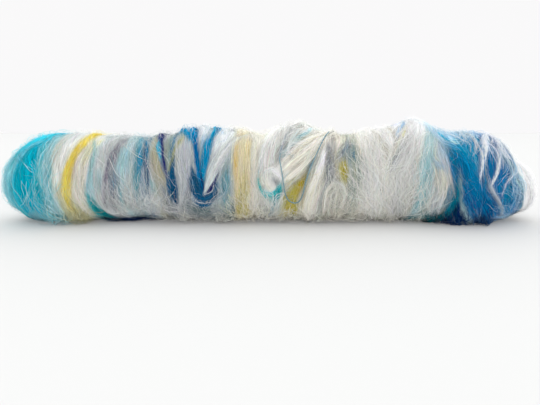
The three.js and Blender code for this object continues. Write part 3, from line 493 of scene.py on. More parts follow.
    ("cerulean", 0.55, 0, 1.4, [(124, 4, 2.4), (127, -10, 4.4), (129, -26, 4.4), (130, -40, 3)]),
    ("haze", 0.65, 0, 1.2, [(131, 0, 1.6), (134, -18, 2.6), (136, -44, 3.4)]),
    ("ice", 0.7, 0, 1.6, [(121, 42, 1.4), (124.8, 30, 2.2), (130, 11, 2.6), (134.6, -1, 2.8),
        (136.6, -12, 2)]),
    ("sky", 0.7, 0, 0.8, [(124, -50, 2.6), (130, -56, 3.6), (134, -72, 5)]),
    ("cerulean", 1, 0, 1.8, [(104.2, 70, 1.8), (103.2, 48, 1.8)]),
    ("cerulean", 1, 0, 1.8, [(111.4, 74, 1.4), (110.8, 54, 1.4)]),
    ("blue", 1, 0, 2, [(115.4, 48, 1.2), (114.6, 36, 1.9), (113.4, 18, 1.9), (112.4, 6, 1.2)]),
    ("blue", 0.9, 0, 1, [(111.8, 10, 1.6), (111, 0, 1.4)]),
    ("blue", 1, 0, 1.8, [(123, 26, 1.2), (121.4, 12, 1.6), (119.6, -2, 1.6)]),
    ("blue", 0.8, 0, 1, [(119, 5, 1.4), (118.6, -8, 1.4)]),
    ("cerulean", 1, 0, 2.2, [(125.6, 2, 2.2), (125, -14, 3.2), (124.6, -30, 3)]),
    ("blue", 0.9, 0, 1, [(126, -24, 1.6), (126.4, -35, 1.2)]),
    ("ice", 0.5, 0, 1.2, [(123, 30, 1.1), (126.4, 17, 1.6), (129.8, 5, 1.9), (133.4, -6, 1.7)]),
    ("dusk_teal", 0.7, 0.3, 1.2, [(134, -2, 0.4), (136.6, -20, 0.5), (138.2, -40, 0.5), (139.2, -60, 0.4)]),
    ("white", 0.9, 0.5, 1.8, [(105.2, 82, 0.4), (104.8, 62, 0.5), (105, 46, 0.5), (104, 35, 0.4)]),
    ("white", 0.9, 0.5, 1.8, [(108.6, 78, 0.4), (109.6, 54, 0.9), (107.8, 42, 0.9), (104.6, 31, 0.4)]),
    ("silver", 1, 1, 4.2, [(121, 82, 1.2), (116, 64, 1.6), (112.6, 46, 1.9), (110.4, 30, 1.6),
        (108.9, 17, 1), (107.4, 5, 0.3)]),
    ("silver", 1, 1, 4.2, [(127, 74, 0.8), (122.8, 58, 1.1), (120, 42, 1.1), (118, 26, 1),
        (116.4, 13, 0.8), (114.2, 1, 0.5), (112.4, -7, 0.2)]),
    ("white", 0.8, 0.4, 1.4, [(116.4, 53, 0.3), (118.8, 38, 0.4), (119.6, 29, 0.3)]),
    ("white", 0.8, 0.5, 1.4, [(120.4, 66, 0.5), (118, 53, 0.4)]),
    ("white", 0.85, 0.5, 1.6, [(128, 21, 0.4), (124.6, 10, 0.5), (122, 0, 0.5), (120.8, -17, 0.4)]),
    ("lavender", 0.9, 0.7, 1.8, [(111.2, 18, 0.5), (112.6, 4, 0.8), (115.4, -8, 1), (119.8, -20, 1),
        (123.6, -32, 0.8), (126.4, -48, 0.6)]),
    ("white", 0.6, 0.3, 1.2, [(122.6, 47, 0.3), (120, 31, 0.3)]),
    ("haze", 0.6, 0.4, 1.2, [(103, -9, 0.2), (107, -26, 0.3), (111, -38, 0.3), (116, -58, 0.25)]),
    ("haze", 0.5, 0.4, 1.2, [(108.6, -11, 0.2), (111, -30, 0.25), (113.6, -46, 0.2)]),
]

# Frizz: loose fibres strewn over a place, how far along and round, how many, their tint, how much they lie
# across the rest and how curly they are, their length, how high they stand, and how much painted shade
# darkens the body in the gaps between them
FRIZZ_COLUMNS = ("s", "angle", "along", "round", "count", "tint", "cross", "curl", "long", "lift", "gap")
FRIZZ = [
    # Left end, its fuzzy rim and its foot
    (-120, 0, 5, 45, 45, "ice", 0.6, 0.25, 18, 1.2, 0),
    (-127, -35, 8, 20, 40, "ice", 0.6, 0.3, 16, 1.5, 0),
    (-117, 30, 4, 60, 90, "cool_white", 0.4, 0.3, 14, 1.2, 0),
    (-153, 0, 8, 180, 620, "ice", 0.8, 0.4, 8, 2.4, 0),
    (-136, 86, 14, 26, 200, "ice", 0.6, 0.4, 10, 2.8, 0),
    (-116, -54, 6, 16, 140, "pale_teal", 0.6, 0.7, 12, 4.5, 0),
    (-105, -58, 7, 12, 120, "straw", 0.6, 0.7, 12, 4, 0),
    (-77, -73, 14, 4, 140, "midnight", 0.5, 0.6, 10, 2.2, 0),
    # Between the left end and the V fold, with straight stray fibres over it
    (-84, 26, 4, 26, 70, "grey", 0.5, 0.4, 11, 1.3, 0),
    (-88, -30, 7, 16, 70, "grey", 0.35, 0.4, 12, 1.3, 0.05),
    (-75, -32, 10, 16, 150, "white", 0.4, 0.5, 12, 1.4, 0.05),
    (-72, -49, 12, 9, 230, "white", 0.6, 0.8, 9, 1.3, 0),
    (-64, -38, 9, 12, 230, "white", 0.6, 0.8, 13, 1.6, 0.18),
    (-47, -44, 8, 12, 150, "white", 0.6, 0.8, 13, 1.5, 0.25),
    (-33, -48, 12, 12, 120, "grey", 0.6, 0.8, 13, 1.5, 0.3),
    (-34, -24, 9, 10, 50, "white", 0.4, 0.5, 14, 1.6, 0),
    (-68, 20, 24, 45, 110, "white", 0.5, 0.2, 22, 1.4, 0),
    # Middle, with fibres that lie over the thread's ends
    (-15, -44, 10, 18, 160, "cream", 0.5, 0.6, 12, 1.4, 0.15),
    (-3, -42, 8, 16, 200, "white", 0.6, 0.7, 12, 1.4, 0.2),
    (7, 50, 3, 18, 160, "white", 0.55, 0.2, 12, 5, 0),
    (30.5, 18, 2.6, 22, 100, "white", 0.5, 0.8, 9, 1.2, 0.12),
    (36, -36, 9, 24, 240, "cream", 0.5, 0.6, 16, 1.4, 0.15),
    # White stretch and hump
    (60, -8, 13, 54, 950, "white", 0.45, 0.55, 20, 1.6, 0.22),
    (76, -28, 9, 28, 300, "white", 0.45, 0.55, 18, 1.5, 0.18),
    (66, 42, 14, 30, 220, "silver", 0.4, 0.4, 18, 1.5, 0.06),
    # Right end and its tuft
    (110, 58, 13, 20, 120, "silver", 0.4, 0.2, 14, 1.8, 0),
    (116, 34, 10, 40, 90, "silver", 0.4, 0.25, 16, 1.6, 0),
    (131, -20, 8, 35, 120, "sky", 0.5, 0.4, 14, 2.2, 0),
    (100, 68, 13, 10, 110, "white", 0.5, 0.4, 12, 2.4, 0),
    (125, 18, 5, 26, 90, "silver", 0.5, 0.4, 12, 2, 0),
    (91, -56, 9, 8, 130, "pine", 0.5, 0.6, 9, 1.8, 0.05),
    (106, -64, 15, 12, 340, "midnight", 0.6, 0.7, 11, 3.8, 0),
    (150, 0, 9, 180, 500, "silver", 0.7, 0.4, 12, 2.4, 0),
    # Along the floor, along the top and over the back
    (10, -62, 70, 12, 760, "cream", 0.6, 1, 12, 3.8, 0),
    # fibres along the foot, tinted dark umber as painted contact shadow where the roll meets the floor
    (14, -72, 72, 7, 420, "umber", 0.5, 0.8, 10, 1.4, 0),
    (-20, 88, 96, 24, 700, "white", 0.6, 0.4, 14, 3.2, 0),
    (0, 222, 112, 34, 1400, "white", 0.6, 0.8, 12, 2.4, 0.1),
]

# The thread's route over the front, both ends running over the top; its thickness, clearance above the roll
# and length of a turn of its plies in millimetres, the points round it, how far its plies stand out, and the
# painted shade in the grooves between them
THREAD_ROUTE = [
    (27, 108), (22.5, 101), (17.5, 94), (12.5, 84), (9.4, 72), (7.4, 60), (6, 49), (4.9, 38), (4.2, 28),
        (5, 18), (5.8, 7), (6.5, -4), (7.5, -14), (9.3, -22), (12.1, -25.6), (14.8, -22.4), (16.4, -13.5),
        (17.3, -4), (18.4, 7), (20, 17.5), (22.2, 29), (24.6, 40), (27, 52), (29.4, 64), (31.8, 76),
        (34, 88), (36, 99),
]
THREAD_DIAMETER = 0.7
THREAD_CLEARANCE = 0.45
THREAD_TWIST = 2.4
THREAD_SIDES = 12
PLY_RELIEF = 0.18
PLY_SHADE = 0.15


# Chart of the skin
def rays(s, angle):
    """Start and direction of the ray from inside the roll that meets its skin at a place on the chart."""
    middle = np.clip(s, LEFT_SHOULDER, RIGHT_SHOULDER)
    tip = (s - middle) / END_RADIUS
    turn = np.radians(angle)
    start = np.stack([middle, np.full_like(middle, AXIS_Y), np.full_like(middle, AXIS_Z)], -1)
    way = np.stack([np.sin(tip), -np.cos(tip) * np.cos(turn), np.cos(tip) * np.sin(turn)], -1)
    return start, way


def round_mm(s):
    """Radius of the way round the roll, which shrinks towards the tips."""
    tip = (s - np.clip(s, LEFT_SHOULDER, RIGHT_SHOULDER)) / END_RADIUS
    return END_RADIUS * np.maximum(np.cos(tip), TIP_SHARE)


def half_turn(angle):
    """The same angle, from -180 to 180 degrees."""
    return np.mod(angle + 180.0, 360.0) - 180.0


def chart_places(shape):
    """Places on the chart of the points of a grid."""
    s = np.linspace(S_MIN, S_MAX, shape[0])
    angle = np.arange(shape[1]) * 360.0 / shape[1]
    return np.meshgrid(s, angle, indexing="ij")


def smooth_grid(grid, rounds):
    """Evens out a grid on the chart, which closes on itself round the roll."""
    for _ in range(rounds):
        grid = (np.roll(grid, 1, 1) + 2 * grid + np.roll(grid, -1, 1)) / 4
        ends = np.concatenate([grid[:1], grid, grid[-1:]])
        grid = (ends[:-2] + 2 * ends[1:-1] + ends[2:]) / 4
    return grid


def between(grid, row, angle, eased):
    """Reads a grid between its points, in straight or eased steps from one to the next."""
    columns = grid.shape[1]
    column = np.mod(angle, 360.0) / 360.0 * columns
    first = np.minimum(row.astype(int), len(grid) - 2)
    left = column.astype(int) % columns
    right = (left + 1) % columns
    down = row - first
    across = column - np.floor(column)
    if eased:
        down = down * down * (3 - 2 * down)
        across = across * across * (3 - 2 * across)
    if grid.ndim == 3:
        down = down[..., None]
        across = across[..., None]
    near = grid[first, left] * (1 - across) + grid[first, right] * across
    far = grid[first + 1, left] * (1 - across) + grid[first + 1, right] * across
    return near * (1 - down) + far * down


def read_grid(grid, s, angle):
    """Reads a grid on the chart at any place."""
    row = np.clip((s - S_MIN) / (S_MAX - S_MIN), 0, 1) * (len(grid) - 1)
    return between(grid, row, angle, eased=False)


def measure_reach():
    """Distance from the axis to the frame's skin, at each point of a grid on the chart."""
    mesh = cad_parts["batt"].data
    points = [vertex.co / MM for vertex in mesh.vertices]
    tree = BVHTree.FromPolygons(points, [tuple(face.vertices) for face in mesh.polygons])
    start, way = rays(*chart_places(REACH_SHAPE))
    reach = np.empty(REACH_SHAPE)
    for place in np.ndindex(REACH_SHAPE):
        reach[place] = tree.ray_cast(Vector(start[place]), Vector(way[place]))[3]
    return smooth_grid(reach, rounds=2)


# Noise, colours, relief and flow over the chart
def linear(tint):
    """A named colour as linear numbers, with the light on the front of the roll taken out."""
    share = np.array(TINTS[tint]) / 255.0
    light = np.where(share <= 0.04045, share / 12.92, ((share + 0.055) / 1.055) ** 2.4)
    seen = light / FRONT_LIGHT
    return np.minimum(seen / (1 - FIBRE_DEPTH + FIBRE_DEPTH * seen), BRIGHTEST)


def streaks(base, s, angle, layers):
    """A base with layers of noise on it, in streaks that run round the roll."""
    for strength, across, along, seed in layers:
        columns = max(3, round(360.0 / along))
        rows = int((S_MAX - S_MIN) / across) + 4
        lattice = np.random.default_rng(seed).uniform(-1, 1, (rows, columns))
        row = np.clip((s - S_MIN) / across + 1, 0, rows - 1.001)
        base = base + strength * between(lattice, row, angle, eased=True)
    return base


def smooth_line(knots, count):
    """Points along a smooth curve through the knots."""
    knots = np.array(knots, float)
    ends = np.concatenate([2 * knots[:1] - knots[1:2], knots, 2 * knots[-1:] - knots[-2:-1]])
    place = np.linspace(0, len(knots) - 1, count)
    knot = np.minimum(place.astype(int), len(knots) - 2)
    t = (place - knot)[:, None]
    before, here, there, beyond = (ends[knot + step] for step in range(4))
    square = 2 * before - 5 * here + 4 * there - beyond
    cube = 3 * here - before - 3 * there + beyond
    return 0.5 * (2 * here + (there - before) * t + square * t ** 2 + cube * t ** 3)


def lock_line(lock, count):
    """Place and half width at points along a lock."""
    line = smooth_line(lock["path"], count)
    line[:, 2] = np.maximum(line[:, 2], LOCK_NARROWEST)
    return line


def back_twin(lock):
    """The lock carried on over the top and down the back, where it drifts along the roll."""
    twin = dict(lock, path=[], fill=lock["fill"] * BACK_FILL)
    for s, angle, wide in lock["path"]:
        drift = np.interp(s, DRIFT_PLACES, BACK_DRIFT) * math.cos(math.radians(angle))
        twin["path"].append((s + drift, 180.0 - angle, wide))
    return twin


def named(columns, rows):
    """Rows of a table, with the names of its columns."""
    return [dict(zip(columns, row)) for row in rows]


COLOUR_BANDS = named(BAND_COLUMNS, BANDS)
FRONT_LOCKS = named(LOCK_COLUMNS, LOCKS)
BACK_LOCKS = [back_twin(lock) for lock in FRONT_LOCKS]
FRIZZ_PATCHES = named(FRIZZ_COLUMNS, FRIZZ)


def band_middle(band, angle):
    """Where a band's middle lies at an angle round the roll."""
    turn = np.radians(angle)
    mean = (band["front"] + band["top"] + band["back"] + band["foot"]) / 4
    across = (band["front"] - band["back"]) / 2
    upward = (band["top"] - band["foot"]) / 2
    twice = (band["front"] + band["back"] - band["top"] - band["foot"]) / 4
    return mean + across * np.cos(turn) + upward * np.sin(turn) + twice * np.cos(2 * turn)


def paint_bands(s, angle):
    """Colour of the bands at each point of the chart."""
    ragged = streaks(s, s, angle, BAND_RAGGED)
    colour = np.broadcast_to(linear("beige"), s.shape + (3,)).copy()
    for band in COLOUR_BANDS:
        away = np.abs(ragged - band_middle(band, angle))
        inside = np.clip((band["wide"] + BAND_EDGE - away) / (2 * BAND_EDGE), 0, 1)
        cover = band["cover"] * inside[..., None]
        colour = colour * (1 - cover) + linear(band["tint"]) * cover
    return colour


def nearness(line, s, angle):
    """How far places lie past a lock's edge, and from its middle as a share of its width, and its slope."""
    edge = np.full(s.shape, np.inf)
    share = np.full(s.shape, np.inf)
    slope = np.zeros(s.shape)
    for begin, end in zip(line[:-1], line[1:]):
        radius = round_mm(begin[0])
        run_s = end[0] - begin[0]
        run_turn = math.radians(end[1] - begin[1]) * radius
        off_s = s - begin[0]
        off_turn = np.radians(half_turn(angle - begin[1])) * radius
        t = np.clip((off_s * run_s + off_turn * run_turn) / (run_s ** 2 + run_turn ** 2 + 1e-9), 0, 1)
        away = np.hypot(off_s - t * run_s, off_turn - t * run_turn)
        wide = begin[2] + (end[2] - begin[2]) * t
        closer = away - wide < edge
        edge = np.where(closer, away - wide, edge)
        share = np.where(closer, away / wide, share)
        slope = np.where(closer, math.atan2(run_s * np.sign(run_turn), abs(run_turn) + 1e-9), slope)
    return edge, share, slope


def lay_lock(lock, s, angle, colour, relief, lean):
    """Lays a lock on the chart: its colour, painted shade beside it, its relief and the way its fibres run.
    """
    line = lock_line(lock, POINTS_TO_KNOT * len(lock["path"]))
    margin = line[:, 2].max() + LOCK_MARGIN
    low = line[:, 0].min() - margin
    high = line[:, 0].max() + margin
    rows = np.flatnonzero((s[:, 0] > low) & (s[:, 0] < high))
    part = slice(rows[0], rows[-1] + 1)
    ragged = s[part] + streaks(0, s[part], angle[part], LOCK_RAGGED)
    edge, share, slope = nearness(line, ragged, angle[part])
    soft = min(LOCK_EDGE_MOST, LOCK_EDGE + LOCK_EDGE * lock["path"][0][2])
    inside = np.clip((soft - edge) / (2 * soft), 0, 1)
    # painted shade just outside the lock's edge, deeper the more the lock stands up
    rim = RIM_SHADE * np.clip(lock["lift"], 0, 1) * np.exp(-(((edge - RIM_AWAY) / RIM_WIDE) ** 2))
    cover = (lock["cover"] * inside)[..., None]
    colour[part] = colour[part] * (1 - rim[..., None]) * (1 - cover) + linear(lock["tint"]) * cover
    if lock["lift"] > 0:
        dome = np.sqrt(np.clip(1 - share ** 2, 0, 1))
        relief[part] = relief[part] * (1 - LOCK_PRESS * inside) + lock["lift"] * dome
    else:
        relief[part] += lock["lift"] * np.exp(-(share ** 2))
    pull = np.exp(-((np.maximum(edge, 0) / LOCK_PULL) ** 2))
    lean[part] = lean[part] * (1 - pull) + slope * pull


def height_shade(s, angle):
    """Shade and light painted into the fibre's colour at a place, lost over the thin tuft that light comes
    through.
    """
    shade = np.interp(np.abs(half_turn(angle + 90.0)), SHADE_TURNS, SHADE_LIGHT)
    thin = np.clip((s - TUFT_START) / TUFT_FADE, 0, 1)
    return (shade + thin * (1 - shade))[..., None]


def paint_chart():
    """Colour of the fibre with its painted shade and light, and its relief and lean, at each point of the
    chart.
    """
    s, angle = chart_places(CHART_SHAPE)
    colour = paint_bands(s, angle)
    relief = np.zeros(s.shape)
    lean = streaks(0, s, angle, LEAN_STREAKS)
    for lock in BACK_LOCKS + FRONT_LOCKS:
        lay_lock(lock, s, angle, colour, relief, lean)
    # the colours take on the painted shade and light round the roll
    shaded = colour * height_shade(s, angle)
    return shaded, smooth_grid(relief, rounds=1), smooth_grid(lean, rounds=3)


def frizz_gap_shade():
    """Painted shade on the body in the gaps under the frizz: how light the body is at each point of the
    chart.
    """
    s, angle = chart_places(CHART_SHAPE)
    light = np.ones(s.shape)
    for patch in FRIZZ_PATCHES:
        turn = half_turn(angle - patch["angle"])
        far = np.hypot((s - patch["s"]) / patch["along"], turn / patch["round"])
        faded = np.clip(1.6 - 1.2 * far, 0, 1)
        light *= 1 - patch["gap"] * faded
    return light


REACH = measure_reach()
COLOUR, RELIEF, LEAN = paint_chart()
GAP_SHADE = frizz_gap_shade()


def skin(s, angle, lift):
    """Points that lie lift above the looks' skin, never under the floor, and the way out of the roll."""
    start, way = rays(s, angle)
    reach = read_grid(REACH, s, angle) + read_grid(RELIEF, s, angle) - FUZZ_ROOM + lift
    points = start + way * reach[..., None]
    points[..., 2] = np.maximum(points[..., 2], FLOOR_CLEAR)
    return points, way


# Meshes made from arrays
def new_mesh(name, points, faces, colours, flat):
    """A mesh of points in millimetres, with a linear colour for each and a flat map with a place a corner."""
    corners = faces.shape[1]
    mesh = bpy.data.meshes.new(name)
    mesh.vertices.add(len(points))
    mesh.vertices.foreach_set("co", (points * MM).astype(np.float32).ravel())
    mesh.loops.add(faces.size)
    mesh.loops.foreach_set("vertex_index", faces.astype(np.int32).ravel())
    mesh.polygons.add(len(faces))
    mesh.polygons.foreach_set("loop_start", np.arange(0, faces.size, corners, dtype=np.int32))
    mesh.polygons.foreach_set("use_smooth", np.ones(len(faces), dtype=bool))
    mesh.update(calc_edges=True)
    tint = mesh.color_attributes.new("tint", "FLOAT_COLOR", "POINT")
    solid = np.concatenate([colours, np.ones((len(colours), 1))], 1)
    tint.data.foreach_set("color", solid.astype(np.float32).ravel())
    layer = mesh.uv_layers.new(name="OFBake")
    layer.uv.foreach_set("vector", flat.astype(np.float32).ravel())
    return mesh


def new_object(name, data):
    """An object in the scene."""
    item = bpy.data.objects.new(name, data)
    bpy.context.scene.collection.objects.link(item)
    return item


def add_piece(mesh, material):
    """Shows a mesh as a piece that rides with the roll."""
    piece = new_object(mesh.name, mesh)
    mesh.materials.append(material)
    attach(piece, "root")
    return piece


def cell_corners(here, beside):
    """Corners of the two triangles of each cell, between each line of points and the line beside it."""
    return np.stack([here[:-1], here[1:], beside[1:], here[:-1], beside[1:], beside[:-1]], 2)


def closed_tube(name, rings, tips, colours, tip_colours):
    """A closed skin over rings of points, with a fan of triangles on each tip."""
    rows, around = rings.shape[:2]
    index = np.arange(rows * around).reshape(rows, around)
    after = np.roll(index, -1, 1)
    first = np.full(around, rows * around)
    sides = cell_corners(index, after).reshape(-1, 3)
    low_fan = np.stack([first, index[0], after[0]], -1)
    high_fan = np.stack([first + 1, after[-1], index[-1]], -1)
    row, column = np.meshgrid(np.arange(rows) + 1.0, np.arange(around), indexing="ij")
    here = np.stack([row / (rows + 1), column / around], -1)
    beside = np.stack([row / (rows + 1), (column + 1) / around], -1)
    flat_sides = cell_corners(here, beside).reshape(-1, 2)
    low_tip = np.stack([np.zeros(around), (column[0] + 0.5) / around], -1)
    high_tip = low_tip + [1.0, 0.0]
    flat_low = np.stack([low_tip, here[0], beside[0]], 1).reshape(-1, 2)
    flat_high = np.stack([high_tip, beside[-1], here[-1]], 1).reshape(-1, 2)
    points = np.concatenate([rings.reshape(-1, 3), tips])
    faces = np.concatenate([sides, low_fan, high_fan])
    tints = np.concatenate([colours.reshape(-1, 3), tip_colours])
    return new_mesh(name, points, faces, tints, np.concatenate([flat_sides, flat_low, flat_high]))


def ribbons(name, points, outward, width, colours, twist, material):
    """Many fibres as one mesh of narrow, tapered ribbons, each with its own cell of the flat map."""
    count, steps = points.shape[:2]
    along = np.gradient(points, axis=1)
    side = np.cross(outward, along)
    side /= np.linalg.norm(side, axis=-1, keepdims=True) + 1e-9
    turned = np.cos(twist)[:, None, None] * side + np.sin(twist)[:, None, None] * outward
    t = np.linspace(0, 1, steps)
    taper = TAPER_TIP + (1 - TAPER_TIP) * np.sqrt(np.clip(4 * t * (1 - t), 0, 1))
    half = turned * (width[:, None] * taper / 2)[..., None]
    places = np.stack([points - half, points + half], 2)
    places[..., 2] = np.maximum(places[..., 2], FLOOR_CLEAR)
    index = np.arange(count * steps * 2).reshape(count, steps, 2)
    low = index[:, :-1]
    high = index[:, 1:]
    faces = np.stack([low[..., 0], high[..., 0], high[..., 1], low[..., 1]], -1).reshape(-1, 4)
    cells = math.ceil(math.sqrt(count))
    corner = np.stack([np.arange(count) % cells, np.arange(count) // cells], -1) / cells
    cell_along = 0.12 + 0.76 * t
    cell_across = np.array([0.2, 0.8])
    u, v = np.meshgrid(cell_along / cells, cell_across / cells, indexing="ij")
    flat = (corner[:, None, None, :] + np.stack([u, v], -1)[None]).reshape(-1, 2)
    tints = np.repeat(colours.reshape(count * steps, 3), 2, axis=0)
    mesh = new_mesh(name, places.reshape(-1, 3), faces, tints, flat[faces.ravel()])
    add_piece(mesh, material)


# What fibres share
def each(rng, count, span):
    """A random number from a span for each fibre."""
    return rng.uniform(*span, (count, 1))


def scattered(rng, count):
    """Random places spread evenly over the skin."""
    s = rng.uniform(S_MIN, S_MAX, count * 2)
    kept = s[rng.uniform(0, 1, count * 2) < round_mm(s) / END_RADIUS][:count]
    return kept, rng.uniform(0, 360, len(kept))


def drifting(rng, s, angle, length, steps, lean_spread, sway):
    """Paths on the chart that follow the flow of the fibre from a start, each with its own lean and sway."""
    count = len(s)
    own_lean = lean_spread * streaks(rng.normal(0, 0.65, count), s, angle, OWN_LEAN_STREAKS)
    wave = rng.uniform(0.5, 1.7, count)
    phase = rng.uniform(0, 2 * math.pi, count)
    step = length / (steps - 1)
    path_s = np.empty((count, steps))
    path_angle = np.empty((count, steps))
    for k in range(steps):
        path_s[:, k] = s
        path_angle[:, k] = angle
        lean = read_grid(LEAN, s, angle) + own_lean
        lean = lean + sway * np.sin(2 * math.pi * wave * k / (steps - 1) + phase)
        s = np.clip(s + step * np.sin(lean), S_MIN, S_MAX)
        angle = angle + np.degrees(step * np.cos(lean) / round_mm(s))
    return path_s, path_angle


def tucked(steps, depth):
    """How far fibres sink at points along them: only their ends do."""
    return depth * (2 * np.linspace(0, 1, steps) - 1) ** 8


def bowed(rng, count, look):
    """Heights along fibres that lie close: a base, a bow over it and tucked ends."""
    arc = np.sin(math.pi * np.linspace(0, 1, SHORT_STEPS))
    height = each(rng, count, look["base"]) + each(rng, count, look["bow"]) * arc
    return height - tucked(SHORT_STEPS, look["tuck"])


def arched(height):
    """Heights along loose fibres that arch up to a height from tucked ends."""
    arc = np.sin(math.pi * np.linspace(0, 1, LONG_STEPS))
    return height * (ARCH_FOOT + (1 - ARCH_FOOT) * arc) - tucked(LONG_STEPS, LOOSE_TUCK)


def paleness(colours):
    """How near a colour is to grey or white: 0 for a full colour, 1 for none."""
    return (colours.min(-1, keepdims=True) / (colours.max(-1, keepdims=True) + 1e-6)) ** PALE_CURVE


def vary(rng, colours, light, hue):
    """Each fibre's colour a little lighter or darker, pale ones less so, and a little off in hue."""
    count = len(colours)
    calm = 1 - PALE_CALM * paleness(colours[:, :1])
    lighter = calm * rng.normal(0, light, (count, 1, 1))
    shade = np.exp(lighter + rng.normal(0, hue, (count, 1, 3)))
    return np.clip(colours * shade, 0, BRIGHTEST)


def blended(under, tint, share, steps):
    """Colours of fibres that have a share of a tint, and the rest from what they lie on."""
    return np.broadcast_to(under * (1 - share) + linear(tint) * share, (len(share), steps, 3))


def loose_ribbons(name, rng, paths, lift, colours, look, material):
    """Loose fibres as ribbons of random width, shade and turn."""
    points, outward = skin(*paths, lift)
    count = len(points)
    width = rng.uniform(*look["width"], count)
    shades = vary(rng, colours, *look["varied"])
    ribbons(name, points, outward, width, shades, rng.normal(0, look["turn"], count), material)


# Kinds of fibres
def skin_fibres(name, seed, side, material):
    """Fibres of the rolled web itself, in the colours of its bands, over one half of the roll."""
    rng = np.random.default_rng(seed)
    s, angle = scattered(rng, SKIN_COUNT * 3)
    kept = np.flatnonzero(s * side > 0)[:SKIN_COUNT]
    count = len(kept)
    length = rng.uniform(*FIBRE_LENGTH, count)
    path_s, path_angle = drifting(rng, s[kept], angle[kept], length, SHORT_STEPS, *SKIN_DRIFT)
    points, outward = skin(path_s, path_angle, bowed(rng, count, SKIN_LOOK))
    middle = slice(SHORT_STEPS // 2, SHORT_STEPS // 2 + 1)
    own = read_grid(COLOUR, path_s[:, middle], path_angle[:, middle])
    colours = (1 - HELD_SHARE) * read_grid(COLOUR, path_s, path_angle) + HELD_SHARE * own
    colours = vary(rng, colours, *SKIN_LOOK["varied"])
    width = rng.uniform(*SKIN_LOOK["width"], count)
    ribbons(name, points, outward, width, colours, rng.normal(0, SKIN_LOOK["turn"], count), material)


def one_lock(rng, lock):
    """Paths, heights, widths and colours of the fibres of one lock."""
    line_points = 40
    long_mm = 60
    line = lock_line(lock, line_points)
    knots = np.arange(line_points)
    run_s = np.gradient(line[:, 0])
    run_turn = np.radians(np.gradient(line[:, 1]))
    length = float(np.hypot(run_s, run_turn * round_mm(line[:, 0])).sum())
    whole = min(1.0, 0.4 + length / long_mm)
    count = max(LOCK_FEWEST, int(lock["fill"] * LOCK_DENSITY * line[:, 2].mean() * whole))
    t = np.linspace(0, 1, SHORT_STEPS)
    begin = each(rng, count, (-0.03, 0.45))
    reach = each(rng, count, (0.4, 0.8))
    end = np.minimum(begin + reach, each(rng, count, (0.92, 1.03)))
    place = np.clip(begin + (end - begin) * t, 0, 1) * (line_points - 1)
    s, angle, wide = (np.interp(place, knots, line[:, k]) for k in range(3))
    slope_s = np.interp(place, knots, run_s)
    slope_turn = np.interp(place, knots, run_turn) * round_mm(s)
    norm = np.hypot(slope_s, slope_turn) + 1e-9
    offset = np.clip(rng.normal(0, LOCK_SPREAD, (count, 1)), -1.15, 1.15)
    wave = each(rng, count, (0.4, 1.3))
    phase = each(rng, count, (0, 1))
    shift = offset * wide + LOCK_WANDER * np.sin(2 * math.pi * (wave * t + phase))
    s = s + shift * slope_turn / norm
    angle = angle - np.degrees(shift * slope_s / norm / round_mm(s))
    lift = bowed(rng, count, LOCK_LOOK)
    width = rng.uniform(*LOCK_LOOK["width"], count)
    # the lock's colour takes on the painted shade and light round the roll, as on the chart
    colours = vary(rng, linear(lock["tint"]) * height_shade(s, angle), *LOCK_LOOK["varied"])
    return s, angle, lift, width, colours


def lock_fibres(name, seed, locks, material):
    """Fibres of the locks, which run along them."""
    rng = np.random.default_rng(seed)
    made = [one_lock(rng, lock) for lock in locks]
    s, angle, lift, width, colours = (np.concatenate(group) for group in zip(*made))
    points, outward = skin(s, angle, lift)
    ribbons(name, points, outward, width, colours, rng.normal(0, LOCK_LOOK["turn"], len(width)), material)


def veil_fibres(name, seed, material):
    """Fine pale fibres that lie loosely over all the rest."""
    rng = np.random.default_rng(seed)
    s, angle = scattered(rng, VEIL_COUNT)
    count = len(s)
    paths = drifting(rng, s, angle, rng.uniform(*FIBRE_LENGTH, count), LONG_STEPS, *VEIL_DRIFT)
    middle = slice(LONG_STEPS // 2, LONG_STEPS // 2 + 1)
    under = read_grid(COLOUR, paths[0][:, middle], paths[1][:, middle])
    share = rng.uniform(*VEIL_LOOK["share"], (count, 1, 1)) * paleness(under)
    colours = blended(under, "white", share, LONG_STEPS)
    lift = arched(each(rng, count, VEIL_LOOK["height"]))
    loose_ribbons(name, rng, paths, lift, colours, VEIL_LOOK, material)


def frizz_fibres(name, seed, material):
    """Loose curly fibres in patches."""
    rng = np.random.default_rng(seed)
    paths = []
    colours = []
    heights = []
    for patch in FRIZZ_PATCHES:
        count = patch["count"]
        far = np.sqrt(rng.uniform(0, 1, count))
        turn = rng.uniform(0, 2 * math.pi, count)
        s = patch["s"] + patch["along"] * far * np.cos(turn)
        angle = patch["angle"] + patch["round"] * far * np.sin(turn)
        length = patch["long"] * rng.uniform(0.5, 1.5, count)
        paths.append(drifting(rng, s, angle, length, LONG_STEPS, patch["cross"], patch["curl"]))
        share = rng.uniform(*FRIZZ_LOOK["share"], (count, 1, 1))
        colours.append(blended(read_grid(COLOUR, s, angle)[:, None], patch["tint"], share, LONG_STEPS))
        heights.append(each(rng, count, FRIZZ_LOOK["height"]) * patch["lift"])
    paths = [np.concatenate(group) for group in zip(*paths)]
    lift = arched(np.concatenate(heights))
    loose_ribbons(name, rng, paths, lift, np.concatenate(colours), FRIZZ_LOOK, material)


